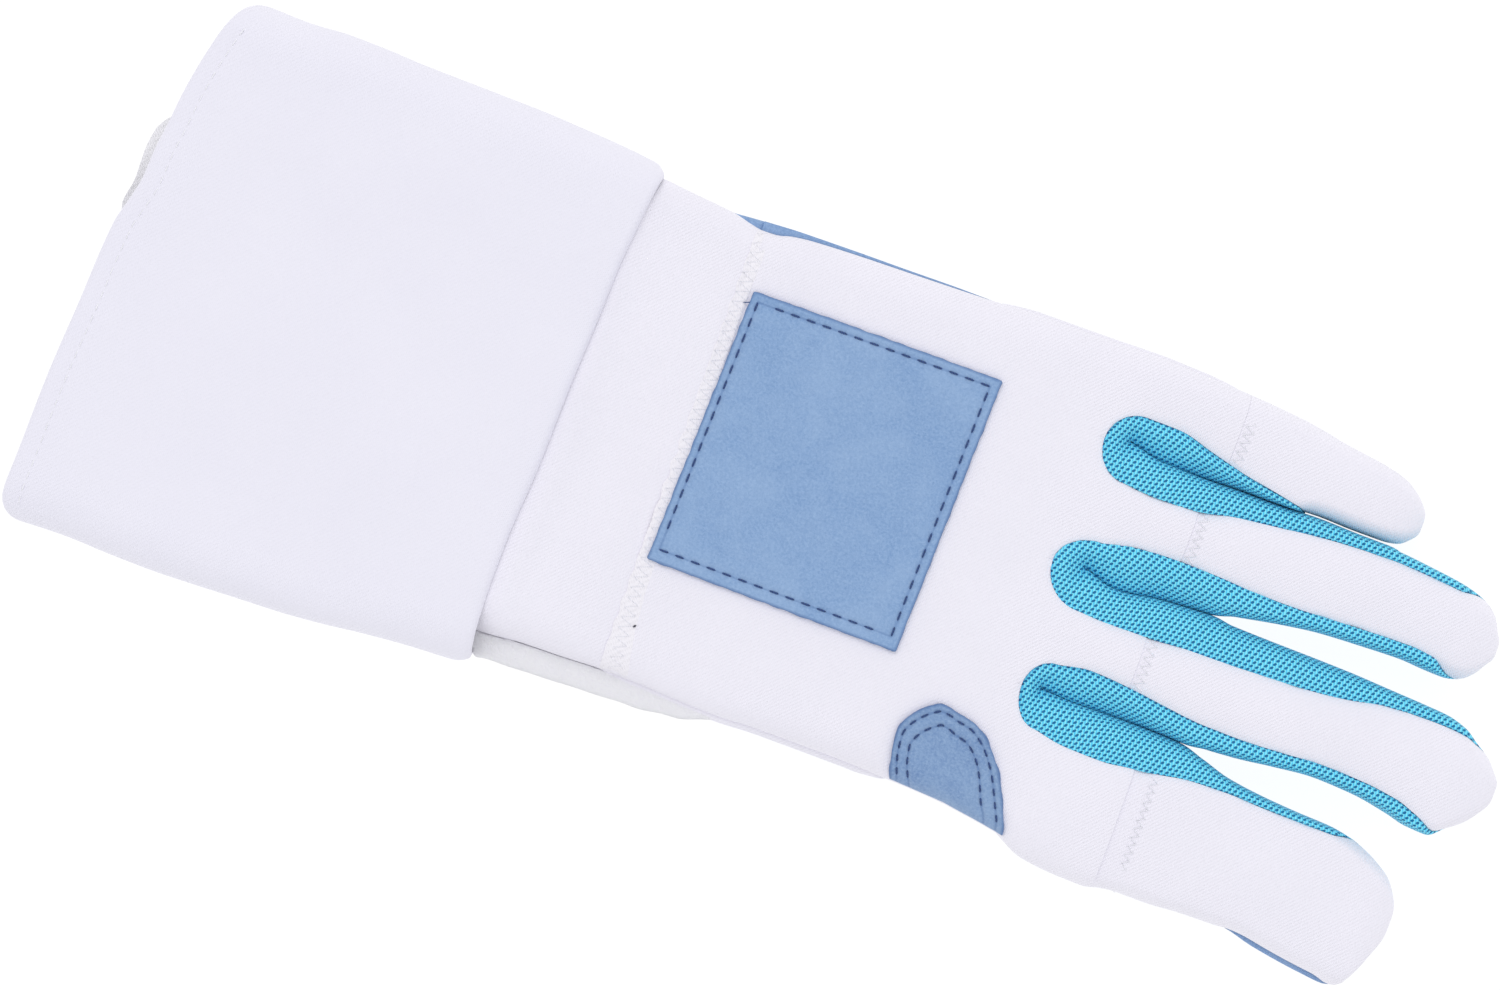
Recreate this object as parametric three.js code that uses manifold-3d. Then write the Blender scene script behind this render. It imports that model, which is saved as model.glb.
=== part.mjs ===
import * as THREE from "three";
import Module from "manifold-3d";

const wasm = await Module();
wasm.setup();

// All sizes are in millimetres. X runs to the fingertips, Y to the little finger, Z up.

// Gap between two pieces that are sewn together
const SEAM_GAP = 0.3;

// Hand: the wrist seam lies at WRIST_END_X, the fingers part at CROTCH_X
const WRIST_END_X = -20;
const PALM_LENGTH = 102;
const CROTCH_X = WRIST_END_X + PALM_LENGTH;
const HAND_LOW_Y = -53.2;
const HAND_WIDTH = 116.8;
const HAND_HIGH_Y = HAND_LOW_Y + HAND_WIDTH;
const HAND_SIDE_ROUND = 8;
const PALM_PEEK = 0.8;
const PALM_PEEK_END = 0.63;
const BACK_WALL = 3;
const PALM_WALL = 1.7;

// Cuff: a flattened tube, its bottom lies on the floor
const WRIST_LENGTH = 30.3;
const CUFF_FOLD_X = WRIST_END_X - WRIST_LENGTH;
const CUFF_LENGTH = 117.2;
const CUFF_MOUTH_X = CUFF_FOLD_X - CUFF_LENGTH;
const CUFF_SPREAD_LOW = 12.3;
const CUFF_SPREAD_HIGH = 7.3;
const CUFF_LOW_Y = HAND_LOW_Y - CUFF_SPREAD_LOW;
const CUFF_WIDTH = HAND_WIDTH + CUFF_SPREAD_LOW + CUFF_SPREAD_HIGH;
const CUFF_HEIGHT = 20;
const CUFF_WALL = 2.6;
const CUFF_SIDE_ROUND = 10;
const CUFF_FOLD_ROUND = 1.4;

// Lining that shows inside the mouth of the cuff
const LINING_WALL = 1;
const LINING_DEPTH = 22;
const LINING_INSET = 1.2;
const LINING_SIDE_GAP = 1.4;
const LINING_LIP = 5;
const LINING_LIP_ACROSS = 0.67;
const LINING_LIP_HALF = 17;

// Wrist sleeve: runs from inside the cuff to the wrist seam
const WRIST_TUCK = 13.7;
const WRIST_START_X = CUFF_FOLD_X - WRIST_TUCK;
const WRIST_PLAY = 0.5;
const WRIST_WALL = 2;
const WRIST_SIDE_ROUND = 8;
const WRIST_FLOOR = CUFF_WALL + WRIST_PLAY;
const WRIST_ROOF = CUFF_HEIGHT - CUFF_FOLD_ROUND - CUFF_WALL - WRIST_PLAY;
const WRIST_RISE = 1.4;

// Brushed strip under the thumb side of the wrist
const STRIP_START_X = CUFF_FOLD_X + 2.8;
const STRIP_LENGTH = 54;
const STRIP_WIDTH = 36;
const STRIP_OUT = 6;
const STRIP_TAPER = 4.4;
const STRIP_THICK = 1.6;
const STRIP_GAP = 0.6;

// Fingers
const FINGER_START_Y = HAND_LOW_Y - 7;
const FINGER_WALL = 2.6;
const MESH_WALL = 1.6;
const MESH_STEP = 0.3;
const SEAM_ROUND = 3;
const SEAM_DROP = 0.7;
const FINGER_STEP = 0.8;
const FINGER_STEP_LENGTH = 12;
const FINGER_PUFF = 1.4;
const SLIT_HALF = 0.3;
const MESH_END_LEAST = 2.1;
const TIP_ROUND = 13;

// Thumb: a flat bag folded under the palm
const THUMB_BASE_X = WRIST_END_X + PALM_LENGTH * 0.51;
const THUMB_BASE_Y = HAND_LOW_Y + HAND_WIDTH * 0.233;
const THUMB_REACH = 47;
const THUMB_TURN = 27;
const THUMB_BASE_ROUND = 16;
const THUMB_TIP_ROUND = 12.5;
const THUMB_HEIGHT = 8.4;
const THUMB_WALL = 1.5;
const THUMB_SOFT = 1.6;
const THUMB_HOLE_LONG = 12;
const THUMB_HOLE_SHORT = 9;

// Heights of the hand over the floor: the palm lies on the thumb, the back is a hollow hand higher
const PALM_FLOOR = THUMB_HEIGHT + SEAM_GAP + 0.1;
const HAND_THICK = 14;
const FINGER_THICK = 15;

// Patches sewn on the back
const PATCH_THICK = 1.2;
const PATCH_SEAT = SEAM_GAP + 0.1;
const PATCH_LENGTH = 63;
const PATCH_WIDTH = 69;
const PATCH_SKEW = 2.2;
const PATCH_EDGE_DROP = 0.4;
const PATCH_CENTRE_X = WRIST_END_X + 33.9;
const PATCH_CENTRE_Y = HAND_LOW_Y + HAND_WIDTH / 2 + 6.7;
const THUMB_PATCH_START_X = CROTCH_X - 30.5;
const THUMB_PATCH_LENGTH = 33;
const THUMB_PATCH_RISE = 22;

// Underside and top. Behind the crotch, along is a share of the palm length from the wrist seam,
// and past it a share of the reach of the fingers. Rise is a share of the height of the palm or hand.
const PALM_HEIGHTS = [
  { along: 0, under: 0, over: 0 },
  { along: 0.27, under: 1, over: 0.76 },
  { along: 0.59, under: 1, over: 1 },
  { along: 0.9, under: 1, over: 0.9 },
  { along: 1, under: 1, over: 0.76 },
];
const FINGER_HEIGHTS = [
  { along: 0, under: 1, over: 1 },
  { along: 0.05, under: 1, over: 0.9 },
  { along: 0.165, under: 0.64, over: 0.72 },
  { along: 0.3, under: 0.3, over: 0.5 },
  { along: 0.53, under: 0, over: 0.22 },
  { along: 1, under: 0, over: 0 },
];

// Cuff outline: along is a share of its length from mouth to fold, low and high of its width
const CUFF_EDGES = [
  { along: 0, low: 0, high: 0.985 },
  { along: 0.02, low: 0.002, high: 0.999 },
  { along: 0.15, low: -0.002, high: 1.002 },
  { along: 0.4, low: 0.004, high: 1 },
  { along: 0.65, low: 0.018, high: 0.993 },
  { along: 0.9, low: 0.033, high: 0.98 },
  { along: 0.975, low: 0.034, high: 0.974 },
  { along: 1, low: 0.04, high: 0.97 },
];

// Slant of the two ends of the cuff, in shares of its length, by share of its width
const CUFF_ENDS = [
  { across: 0, mouth: 0.013, fold: -0.005 },
  { across: 0.04, mouth: -0.017, fold: -0.01 },
  { across: 0.25, mouth: -0.014, fold: -0.012 },
  { across: 0.5, mouth: 0.003, fold: 0.001 },
  { across: 0.75, mouth: 0.034, fold: 0.012 },
  { across: 0.95, mouth: 0.082, fold: 0.026 },
  { across: 1, mouth: 0.115, fold: 0.029 },
];

// Wrist sides: along runs from the tucked end to the wrist seam, shifts outwards by share of hand width
const WRIST_EDGES = [
  { along: 0, low: 0.009, high: 0 },
  { along: 0.25, low: 0.009, high: 0 },
  { along: 0.39, low: 0.009, high: 0.008 },
  { along: 0.55, low: 0.001, high: 0.005 },
  { along: 0.91, low: -0.003, high: -0.009 },
  { along: 1, low: -0.002, high: -0.018 },
];

// Hand sides: along runs from the wrist seam to the crotch and a little past it
const HAND_EDGES = [
  { along: 0, low: -0.002, high: -0.018 },
  { along: 0.1, low: 0, high: -0.009 },
  { along: 0.2, low: 0.002, high: -0.005 },
  { along: 0.55, low: 0, high: 0.003 },
  { along: 0.69, low: 0, high: 0.012 },
  { along: 0.83, low: -0.003, high: 0.013 },
  { along: 0.94, low: 0.008, high: 0.016 },
  { along: 1, low: 0.015, high: 0.017 },
  { along: 1.08, low: 0.049, high: 0.014 },
];

// Mesh insets between the fingers: how far each U reaches behind the crotch and where its apex sits
const NOTCHES = [
  { reach: 6.5, shift: 0.2 },
  { reach: 9.7, shift: 1.2 },
  { reach: 8, shift: 0 },
];

// Fingers in shares of their length and width. An edge without a seam belongs to back and palm.
const FINGERS = [
  {
    name: "index",
    length: 97,
    width: 40,
    before: 0,
    joint: 26,
    rows: [
      { along: 0, lowEdge: 0.13, highSeam: 0.78, highEdge: 0.995 },
      { along: 0.082, lowEdge: 0.033, highSeam: 0.74, highEdge: 0.998 },
      { along: 0.186, lowEdge: 0, highSeam: 0.735, highEdge: 0.998 },
      { along: 0.265, lowEdge: -0.01, highSeam: 0.75, highEdge: 0.998 },
      { along: 0.392, lowEdge: 0.03, highSeam: 0.79, highEdge: 0.975 },
      { along: 0.495, lowEdge: 0.043, highSeam: 0.805, highEdge: 0.9 },
      { along: 0.619, lowEdge: 0.05, highSeam: 0.783, highEdge: 0.858 },
      { along: 0.701, lowEdge: -0.002, highSeam: 0.78, highEdge: 0.843 },
      { along: 0.784, lowEdge: -0.04, highSeam: 0.77, highEdge: 0.833 },
      { along: 0.866, lowEdge: -0.067, highEdge: 0.785 },
      { along: 0.918, lowEdge: -0.06, highEdge: 0.733 },
      { along: 0.959, lowEdge: 0.068, highEdge: 0.668 },
      { along: 0.988, lowEdge: 0.243, highEdge: 0.565 },
      { along: 1, lowEdge: 0.355, highEdge: 0.455 },
    ],
  },
  {
    name: "middle",
    length: 109.5,
    width: 30.5,
    before: 0.2,
    joint: 17.6,
    rows: [
      { along: 0, lowEdge: 0.003, lowSeam: 0.243, highSeam: 0.689, highEdge: 0.948 },
      { along: 0.073, lowEdge: 0.01, lowSeam: 0.282, highSeam: 0.675, highEdge: 0.941 },
      { along: 0.161, lowEdge: 0.01, lowSeam: 0.262, highSeam: 0.679, highEdge: 0.984 },
      { along: 0.301, lowEdge: 0.003, lowSeam: 0.203, highSeam: 0.695, highEdge: 1.007 },
      { along: 0.438, lowEdge: 0.02, lowSeam: 0.177, highSeam: 0.708, highEdge: 0.987 },
      { along: 0.575, lowEdge: 0.075, lowSeam: 0.2, highSeam: 0.734, highEdge: 0.974 },
      { along: 0.712, lowEdge: 0.072, lowSeam: 0.197, highSeam: 0.813, highEdge: 0.951 },
      { along: 0.804, lowEdge: 0.016, lowSeam: 0.154, highSeam: 0.826, highEdge: 0.931 },
      { along: 0.877, lowEdge: -0.033, lowSeam: 0.059, highSeam: 0.81, highEdge: 0.892 },
      { along: 0.922, lowEdge: 0.039, highEdge: 0.813 },
      { along: 0.963, lowEdge: 0.151, highEdge: 0.728 },
      { along: 0.99, lowEdge: 0.279, highEdge: 0.623 },
      { along: 1, lowEdge: 0.393, highEdge: 0.525 },
    ],
  },
  {
    name: "ring",
    length: 98.2,
    width: 32,
    before: -1,
    joint: 19,
    rows: [
      { along: 0, lowEdge: 0.003, lowSeam: 0.275, highSeam: 0.744, highEdge: 1.006 },
      { along: 0.081, lowEdge: -0.003, lowSeam: 0.325, highSeam: 0.725, highEdge: 0.994 },
      { along: 0.193, lowEdge: 0.034, lowSeam: 0.341, highSeam: 0.741, highEdge: 0.988 },
      { along: 0.336, lowEdge: 0.078, lowSeam: 0.328, highSeam: 0.812, highEdge: 0.997 },
      { along: 0.489, lowEdge: 0.159, lowSeam: 0.312, highSeam: 0.869, highEdge: 1 },
      { along: 0.611, lowEdge: 0.203, lowSeam: 0.328, highSeam: 0.891, highEdge: 0.988 },
      { along: 0.743, lowEdge: 0.219, lowSeam: 0.341, highSeam: 0.884, highEdge: 0.972 },
      { along: 0.825, lowEdge: 0.219, lowSeam: 0.334, highSeam: 0.866, highEdge: 0.947 },
      { along: 0.886, lowEdge: 0.206, lowSeam: 0.291, highSeam: 0.841, highEdge: 0.919 },
      { along: 0.937, lowEdge: 0.228, highEdge: 0.878 },
      { along: 0.978, lowEdge: 0.328, highEdge: 0.766 },
      { along: 0.994, lowEdge: 0.409, highEdge: 0.659 },
      { along: 1, lowEdge: 0.472, highEdge: 0.578 },
    ],
  },
  {
    name: "little",
    length: 71.4,
    width: 24,
    before: 0,
    joint: 21.5,
    rows: [
      { along: 0, lowEdge: 0.033, lowSeam: 0.354, highEdge: 1.004 },
      { along: 0.112, lowEdge: 0.012, lowSeam: 0.367, highEdge: 0.988 },
      { along: 0.301, lowEdge: 0.004, lowSeam: 0.271, highEdge: 0.95 },
      { along: 0.42, lowEdge: 0.012, lowSeam: 0.196, highEdge: 0.921 },
      { along: 0.532, lowEdge: 0.017, lowSeam: 0.129, highEdge: 0.887 },
      { along: 0.644, lowEdge: 0.025, highEdge: 0.829 },
      { along: 0.77, lowEdge: 0.025, highEdge: 0.775 },
      { along: 0.868, lowEdge: 0.021, highEdge: 0.717 },
      { along: 0.938, lowEdge: 0.029, highEdge: 0.629 },
      { along: 0.98, lowEdge: 0.113, highEdge: 0.504 },
      { along: 1, lowEdge: 0.229, highEdge: 0.379 },
    ],
  },
];

// Reads one column of a table at a place between its rows.
function sample(table, key, column, at) {
  const last = table.length - 1;
  let row = 0;
  while (row < last - 1 && at > table[row + 1][key]) row += 1;
  const a = table[row];
  const b = table[row + 1];
  const share = Math.min(1, Math.max(0, (at - a[key]) / (b[key] - a[key])));
  return a[column] + (b[column] - a[column]) * share;
}

const mix = (a, b, share) => a + (b - a) * share;
const radians = (degrees) => (degrees * Math.PI) / 180;

// Fingers lie side by side; each starts where the one before it ends.
let fingerLowY = FINGER_START_Y;
for (const finger of FINGERS) {
  finger.lowY = fingerLowY + finger.before;
  finger.jointX = CROTCH_X + finger.joint;
  finger.tipX = CROTCH_X + finger.length;
  fingerLowY = finger.lowY + finger.width;
}
const FINGER_REACH = Math.max(...FINGERS.map((finger) => finger.length));

function under(x) {
  if (x <= WRIST_END_X) return WRIST_FLOOR;
  if (x <= CROTCH_X) {
    const share = (x - WRIST_END_X) / PALM_LENGTH;
    return mix(WRIST_FLOOR, PALM_FLOOR, sample(PALM_HEIGHTS, "along", "under", share));
  }
  return PALM_FLOOR * sample(FINGER_HEIGHTS, "along", "under", (x - CROTCH_X) / FINGER_REACH);
}

function over(x) {
  const seamRoof = WRIST_ROOF + WRIST_RISE;
  const handRoof = PALM_FLOOR + HAND_THICK;
  if (x <= CUFF_FOLD_X) return WRIST_ROOF;
  if (x <= WRIST_END_X) return mix(WRIST_ROOF, seamRoof, (x - CUFF_FOLD_X) / WRIST_LENGTH);
  if (x <= CROTCH_X) {
    const share = (x - WRIST_END_X) / PALM_LENGTH;
    return mix(seamRoof, handRoof, sample(PALM_HEIGHTS, "along", "over", share));
  }
  const crotchRoof = mix(seamRoof, handRoof, sample(PALM_HEIGHTS, "along", "over", 1));
  const fall = sample(FINGER_HEIGHTS, "along", "over", (x - CROTCH_X) / FINGER_REACH);
  return mix(FINGER_THICK, crotchRoof, fall);
}

function shiftAt(column, x) {
  if (x < WRIST_END_X) {
    const share = (x - WRIST_START_X) / (WRIST_END_X - WRIST_START_X);
    return HAND_WIDTH * sample(WRIST_EDGES, "along", column, share);
  }
  return HAND_WIDTH * sample(HAND_EDGES, "along", column, (x - WRIST_END_X) / PALM_LENGTH);
}

const middle = (x) => (under(x) + over(x)) / 2;
const handLow = (x) => HAND_LOW_Y - shiftAt("low", x);
const handHigh = (x) => HAND_HIGH_Y + shiftAt("high", x);

// A wall between an outer and an inner surface that share one grid, closed along its edges.
class Wall {
  constructor() {
    this.outer = [];
    this.inner = [];
    this.known = new Map();
    this.faces = [];
  }

  node(outer, inner) {
    const key = outer.map((value) => value.toFixed(3)).join();
    if (!this.known.has(key)) {
      this.known.set(key, this.outer.length);
      this.outer.push(outer);
      this.inner.push(inner);
    }
    return this.known.get(key);
  }

  face(a, b, c) {
    if (a !== b && b !== c && c !== a) this.faces.push([a, b, c]);
  }

  grid(rows) {
    for (let i = 0; i + 1 < rows.length; i += 1) {
      for (let j = 0; j + 1 < rows[i].length; j += 1) {
        this.face(rows[i][j], rows[i + 1][j], rows[i + 1][j + 1]);
        this.face(rows[i][j], rows[i + 1][j + 1], rows[i][j + 1]);
      }
    }
  }

  solid() {
    const count = this.outer.length;
    const triangles = [];
    const edges = new Map();
    for (const [a, b, c] of this.faces) {
      triangles.push([a, b, c], [c + count, b + count, a + count]);
      for (const [from, to] of [[a, b], [b, c], [c, a]]) {
        if (edges.has(to + "," + from)) edges.delete(to + "," + from);
        else edges.set(from + "," + to, [from, to]);
      }
    }
    for (const [from, to] of edges.values()) {
      triangles.push([to, from, from + count], [to, from + count, to + count]);
    }
    return geometryOf([...this.outer, ...this.inner], triangles);
  }
}

function geometryOf(points, triangles) {
  let volume = 0;
  const corner = new THREE.Vector3();
  for (const [a, b, c] of triangles) {
    corner.crossVectors(new THREE.Vector3(...points[b]), new THREE.Vector3(...points[c]));
    volume += corner.dot(new THREE.Vector3(...points[a]));
  }
  const faces = volume < 0 ? triangles.map(([a, b, c]) => [c, b, a]) : triangles;
  const geometry = new THREE.BufferGeometry();
  geometry.setAttribute("position", new THREE.Float32BufferAttribute(points.flat(), 3));
  geometry.setIndex(faces.flat());
  return geometry;
}

// A flattened tube: half ellipses at both sides, flat top and bottom.
const SIDE_ANGLES = [90, 60, 30, 0, -30, -60, -90];
const FLAT_SHARES = [1 / 6, 2 / 6, 3 / 6, 4 / 6, 5 / 6];

function flatLoop(low, high, floor, roof, round, wall) {
  const centre = (floor + roof) / 2;
  const tall = (roof - floor) / 2;
  const points = [];
  const pair = (y, z, yIn, zIn) => points.push({ y, z, yIn, zIn });
  for (const degrees of SIDE_ANGLES) {
    const c = Math.cos(radians(degrees));
    const s = Math.sin(radians(degrees));
    pair(high - round + round * c, centre + tall * s,
      high - round + (round - wall) * c, centre + (tall - wall) * s);
  }
  for (const share of FLAT_SHARES) {
    const y = mix(high - round, low + round, share);
    pair(y, floor, y, floor + wall);
  }
  for (const degrees of [...SIDE_ANGLES].reverse()) {
    const c = Math.cos(radians(degrees));
    const s = Math.sin(radians(degrees));
    pair(low + round - round * c, centre + tall * s,
      low + round - (round - wall) * c, centre + (tall - wall) * s);
  }
  for (const share of FLAT_SHARES) {
    const y = mix(low + round, high - round, share);
    pair(y, roof, y, roof - wall);
  }
  return points;
}

function tubeOf(stations, loopAt, xAt) {
  const wall = new Wall();
  const rows = stations.map((station) => {
    const nodes = loopAt(station).map((p) =>
      wall.node([xAt(station, p.y, p.z), p.y, p.z], [xAt(station, p.yIn, p.zIn), p.yIn, p.zIn]));
    return [...nodes, nodes[0]];
  });
  wall.grid(rows);
  return wall.solid();
}

// Cuff
const cuffLow = (along) => CUFF_LOW_Y + CUFF_WIDTH * sample(CUFF_EDGES, "along", "low", along);
const cuffHigh = (along) => CUFF_LOW_Y + CUFF_WIDTH * sample(CUFF_EDGES, "along", "high", along);

function cuffX(along, y) {
  const across = (y - CUFF_LOW_Y) / CUFF_WIDTH;
  const mouth = CUFF_MOUTH_X + CUFF_LENGTH * sample(CUFF_ENDS, "across", "mouth", across);
  const fold = CUFF_FOLD_X + CUFF_LENGTH * sample(CUFF_ENDS, "across", "fold", across);
  return mix(mouth, fold, along);
}

function cuffRoof(along) {
  const ends = along === 0 || along === 1 ? CUFF_FOLD_ROUND : 0;
  return CUFF_HEIGHT - ends;
}

const CUFF_STATIONS = [0, 0.02, 0.08, 0.2, 0.35, 0.5, 0.65, 0.8, 0.9, 0.975, 1];
const cuff = tubeOf(
  CUFF_STATIONS,
  (s) => flatLoop(cuffLow(s), cuffHigh(s), 0, cuffRoof(s), CUFF_SIDE_ROUND, CUFF_WALL),
  (s, y) => cuffX(s, y),
);

// Lining of the cuff, with a lip that hangs out of the mouth
const liningInset = CUFF_WALL + SEAM_GAP;
const cuffLining = tubeOf(
  [0, 0.35, 1],
  (s) => flatLoop(
    cuffLow(0.08) + liningInset + LINING_SIDE_GAP,
    cuffHigh(0.08) - liningInset - LINING_SIDE_GAP,
    liningInset,
    CUFF_HEIGHT - CUFF_FOLD_ROUND - liningInset,
    CUFF_SIDE_ROUND - liningInset,
    LINING_WALL,
  ),
  (s, y, z) => {
    const lipY = CUFF_LOW_Y + CUFF_WIDTH * LINING_LIP_ACROSS;
    const bulge = Math.max(0, 1 - ((y - lipY) / LINING_LIP_HALF) ** 2);
    const lip = z < CUFF_HEIGHT / 2 ? LINING_LIP * bulge : 0;
    return cuffX(0, y) + LINING_INSET - lip * (1 - s) + LINING_DEPTH * s;
  },
);

// Wrist sleeve
const wristPanel = tubeOf(
  [0, 0.3, 0.55, 0.85, 1],
  (s) => {
    const x = mix(WRIST_START_X, WRIST_END_X - SEAM_GAP, s);
    return flatLoop(handLow(x), handHigh(x), under(x), over(x), WRIST_SIDE_ROUND, WRIST_WALL);
  },
  (s) => mix(WRIST_START_X, WRIST_END_X - SEAM_GAP, s),
);

// Brushed strip: a flat band that follows the underside of the wrist and the palm
function stripRows() {
  const wall = new Wall();
  const rows = [0, 0.25, 0.5, 0.625, 0.75, 0.875, 1].map((s) => {
    const x = STRIP_START_X + STRIP_LENGTH * s;
    const outer = HAND_LOW_Y - STRIP_OUT + STRIP_TAPER * s * s;
    return [0, 0.15, 0.5, 1].map((across) => {
      const y = mix(outer, HAND_LOW_Y - STRIP_OUT + STRIP_WIDTH, across);
      const top = under(x) - STRIP_GAP;
      return wall.node([x, y, top], [x, y, top - STRIP_THICK]);
    });
  });
  wall.grid(rows);
  return wall.solid();
}

// Hand: four bands side by side, one for each finger, parted by the mesh insets
const OUTER_ANGLES = [0, 30, 60, 90];
const INNER_ANGLES = [0, 40, 90];

const placeOf = (finger, row) => CROTCH_X + finger.length * row.along;

function edgeOfFinger(finger, column, x) {
  const share = (x - CROTCH_X) / finger.length;
  const rows = finger.rows.filter((row) => row[column] !== undefined);
  return finger.lowY + finger.width * sample(rows, "along", column, share);
}

// The far side of a finger's mesh, kept clear of the next finger.
function meshEdge(index, side, x) {
  const finger = FINGERS[index];
  const other = FINGERS[index + side];
  const own = edgeOfFinger(finger, side > 0 ? "highEdge" : "lowEdge", x);
  if (x > other.tipX) return own;
  const next = edgeOfFinger(other, side > 0 ? "lowEdge" : "highEdge", x);
  const centre = (own + next) / 2;
  return side > 0 ? Math.min(own, centre - SLIT_HALF) : Math.max(own, centre + SLIT_HALF);
}

function apexY(notchIndex) {
  const low = meshEdge(notchIndex, 1, CROTCH_X);
  const high = meshEdge(notchIndex + 1, -1, CROTCH_X);
  return (low + high) / 2 + NOTCHES[notchIndex].shift;
}

// Where a seam has a mesh arm beside it, the seam keeps room for that arm.
function seamOf(index, side, x) {
  const seam = edgeOfFinger(FINGERS[index], side > 0 ? "highSeam" : "lowSeam", x);
  return side > 0
    ? Math.min(seam, meshEdge(index, side, x) - MESH_END_LEAST - SEAM_GAP)
    : Math.max(seam, meshEdge(index, side, x) + MESH_END_LEAST + SEAM_GAP);
}

// Last place along X that still has a mesh arm on that side, or none.
function meshEnd(index, side) {
  const column = side > 0 ? "highSeam" : "lowSeam";
  const rows = FINGERS[index].rows.filter((row) => row[column] !== undefined);
  return rows.length ? placeOf(FINGERS[index], rows[rows.length - 1]) : -Infinity;
}

// One side of one band: where it is, how wide it rounds off and whether it turns down to the middle.
function sideOf(index, side, station) {
  const notchIndex = side > 0 ? index : index - 1;
  const notch = NOTCHES[notchIndex];
  const near = notch ?? NOTCHES[side > 0 ? notchIndex - 1 : notchIndex + 1];
  const apex = CROTCH_X - near.reach;
  if (station.kind === "hand") {
    const x = mix(WRIST_END_X, apex, station.share);
    if (notch) return { x, y: apexY(notchIndex), turned: -1 };
    return { x, y: side > 0 ? handHigh(x) : handLow(x), turned: 1 };
  }
  if (station.kind === "bend") {
    const x = CROTCH_X - near.reach * Math.cos(radians(station.degrees));
    if (!notch) return { x, y: side > 0 ? handHigh(x) : handLow(x), turned: 1 };
    const seam = seamOf(index, side, CROTCH_X);
    return { x, y: mix(apexY(notchIndex), seam, Math.sin(radians(station.degrees))), turned: 0 };
  }
  const x = station.x;
  if (station.meshed[side]) return { x, y: seamOf(index, side, x), turned: 0 };
  const column = side > 0 ? "highEdge" : "lowEdge";
  const own = edgeOfFinger(FINGERS[index], column, x);
  const other = FINGERS[index + side];
  if (!other || x > other.tipX) return { x, y: own, turned: 1 };
  return { x, y: meshEdge(index, side, x), turned: 1 };
}

// One row of wall nodes across a band, for the back (up is 1) or for the palm (up is -1).
function bandRow(wall, index, station, up, thick, sink) {
  const low = sideOf(index, -1, station);
  const high = sideOf(index, 1, station);
  if (up < 0 && station.kind === "hand") {
    if (high.turned > 0 && station.share < PALM_PEEK_END) high.y += PALM_PEEK;
  }
  const { tipX } = FINGERS[index];
  const x0 = (low.x + high.x) / 2;
  const toTip = Math.max(0, (x0 - (tipX - TIP_ROUND)) / TIP_ROUND);
  const squeeze = Math.sqrt(Math.max(0, 1 - toTip * toTip));
  const span = high.y - low.y;
  for (const side of [low, high]) {
    side.round = side.turned > 0 ? Math.min(HAND_SIDE_ROUND, span * 0.36) : SEAM_ROUND;
    side.angles = side.turned > 0 && station.kind !== "finger" ? OUTER_ANGLES : INNER_ANGLES;
    if (index === 0 && side === low) side.angles = OUTER_ANGLES;
    if (index === 3 && side === high) side.angles = OUTER_ANGLES;
  }
  const nodes = [];
  const add = (y, yIn, lift, liftIn) => {
    const share = (y - low.y) / span;
    const x = mix(low.x, high.x, share);
    const base = middle(x) + (up * SEAM_GAP) / 2;
    const roof = up > 0 ? over(x) - sink : under(x);
    const tall = (roof - base) * up;
    const puff = station.kind === "finger" && up > 0 ? FINGER_PUFF * 4 * share * (1 - share) : 0;
    const z = base + up * (tall + puff - lift(tall)) * squeeze;
    const zIn = base + up * (tall + puff - thick - liftIn(tall)) * squeeze;
    nodes.push(wall.node([x, y, z], [x - thick * toTip, yIn, zIn]));
  };
  const arc = (side, sign) => {
    const angles = sign > 0 ? side.angles : [...side.angles].reverse();
    for (const degrees of angles) {
      const c = 1 - Math.cos(radians(degrees));
      const s = 1 - Math.sin(radians(degrees));
      const inset = side.turned > 0 ? Math.min(thick, span * 0.3, side.round * 0.7) : 0;
      const full = side.turned > 0;
      const flat = side.turned < 0;
      add(
        side.y + sign * side.round * c,
        side.y + sign * (inset + (side.round - inset) * c),
        (tall) => (full ? tall * s : flat ? 0 : SEAM_DROP * s),
        (tall) => (full ? (tall - thick) * s : flat ? 0 : SEAM_DROP * s),
      );
    }
  };
  arc(low, 1);
  const from = low.y + low.round;
  const to = high.y - high.round;
  add((from + to) / 2, (from + to) / 2, () => 0, () => 0);
  arc(high, -1);
  return nodes;
}

const HAND_STATIONS = [0, 0.05, 0.18, 0.3, 0.45, 0.62, 0.8, 0.92, 1].map((share) => ({
  kind: "hand",
  share,
}));
const BEND_STATIONS = [20, 40, 65, 90].map((degrees) => ({ kind: "bend", degrees }));

// Stations of a finger between two places along X; a mesh arm that ends gives a doubled station.
function fingerStations(index, fromX, toX) {
  const finger = FINGERS[index];
  const ends = { "-1": meshEnd(index, -1), 1: meshEnd(index, 1) };
  const meshed = (x) => ({ "-1": x < ends[-1] + 0.01, 1: x < ends[1] + 0.01 });
  const places = finger.rows
    .map((row) => placeOf(finger, row))
    .filter((x) => x > fromX + 1 && x < toX - 1);
  const stations = [fromX, ...places, toX].map((x) => ({ kind: "finger", x, meshed: meshed(x) }));
  for (const end of new Set(Object.values(ends))) {
    if (end < fromX || end > toX) continue;
    const after = stations.findIndex((station) => station.x > end + 0.01);
    const x = end + 2 * SEAM_GAP;
    stations.splice(after, 0, { kind: "finger", x, meshed: meshed(x) });
  }
  return stations;
}

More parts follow.
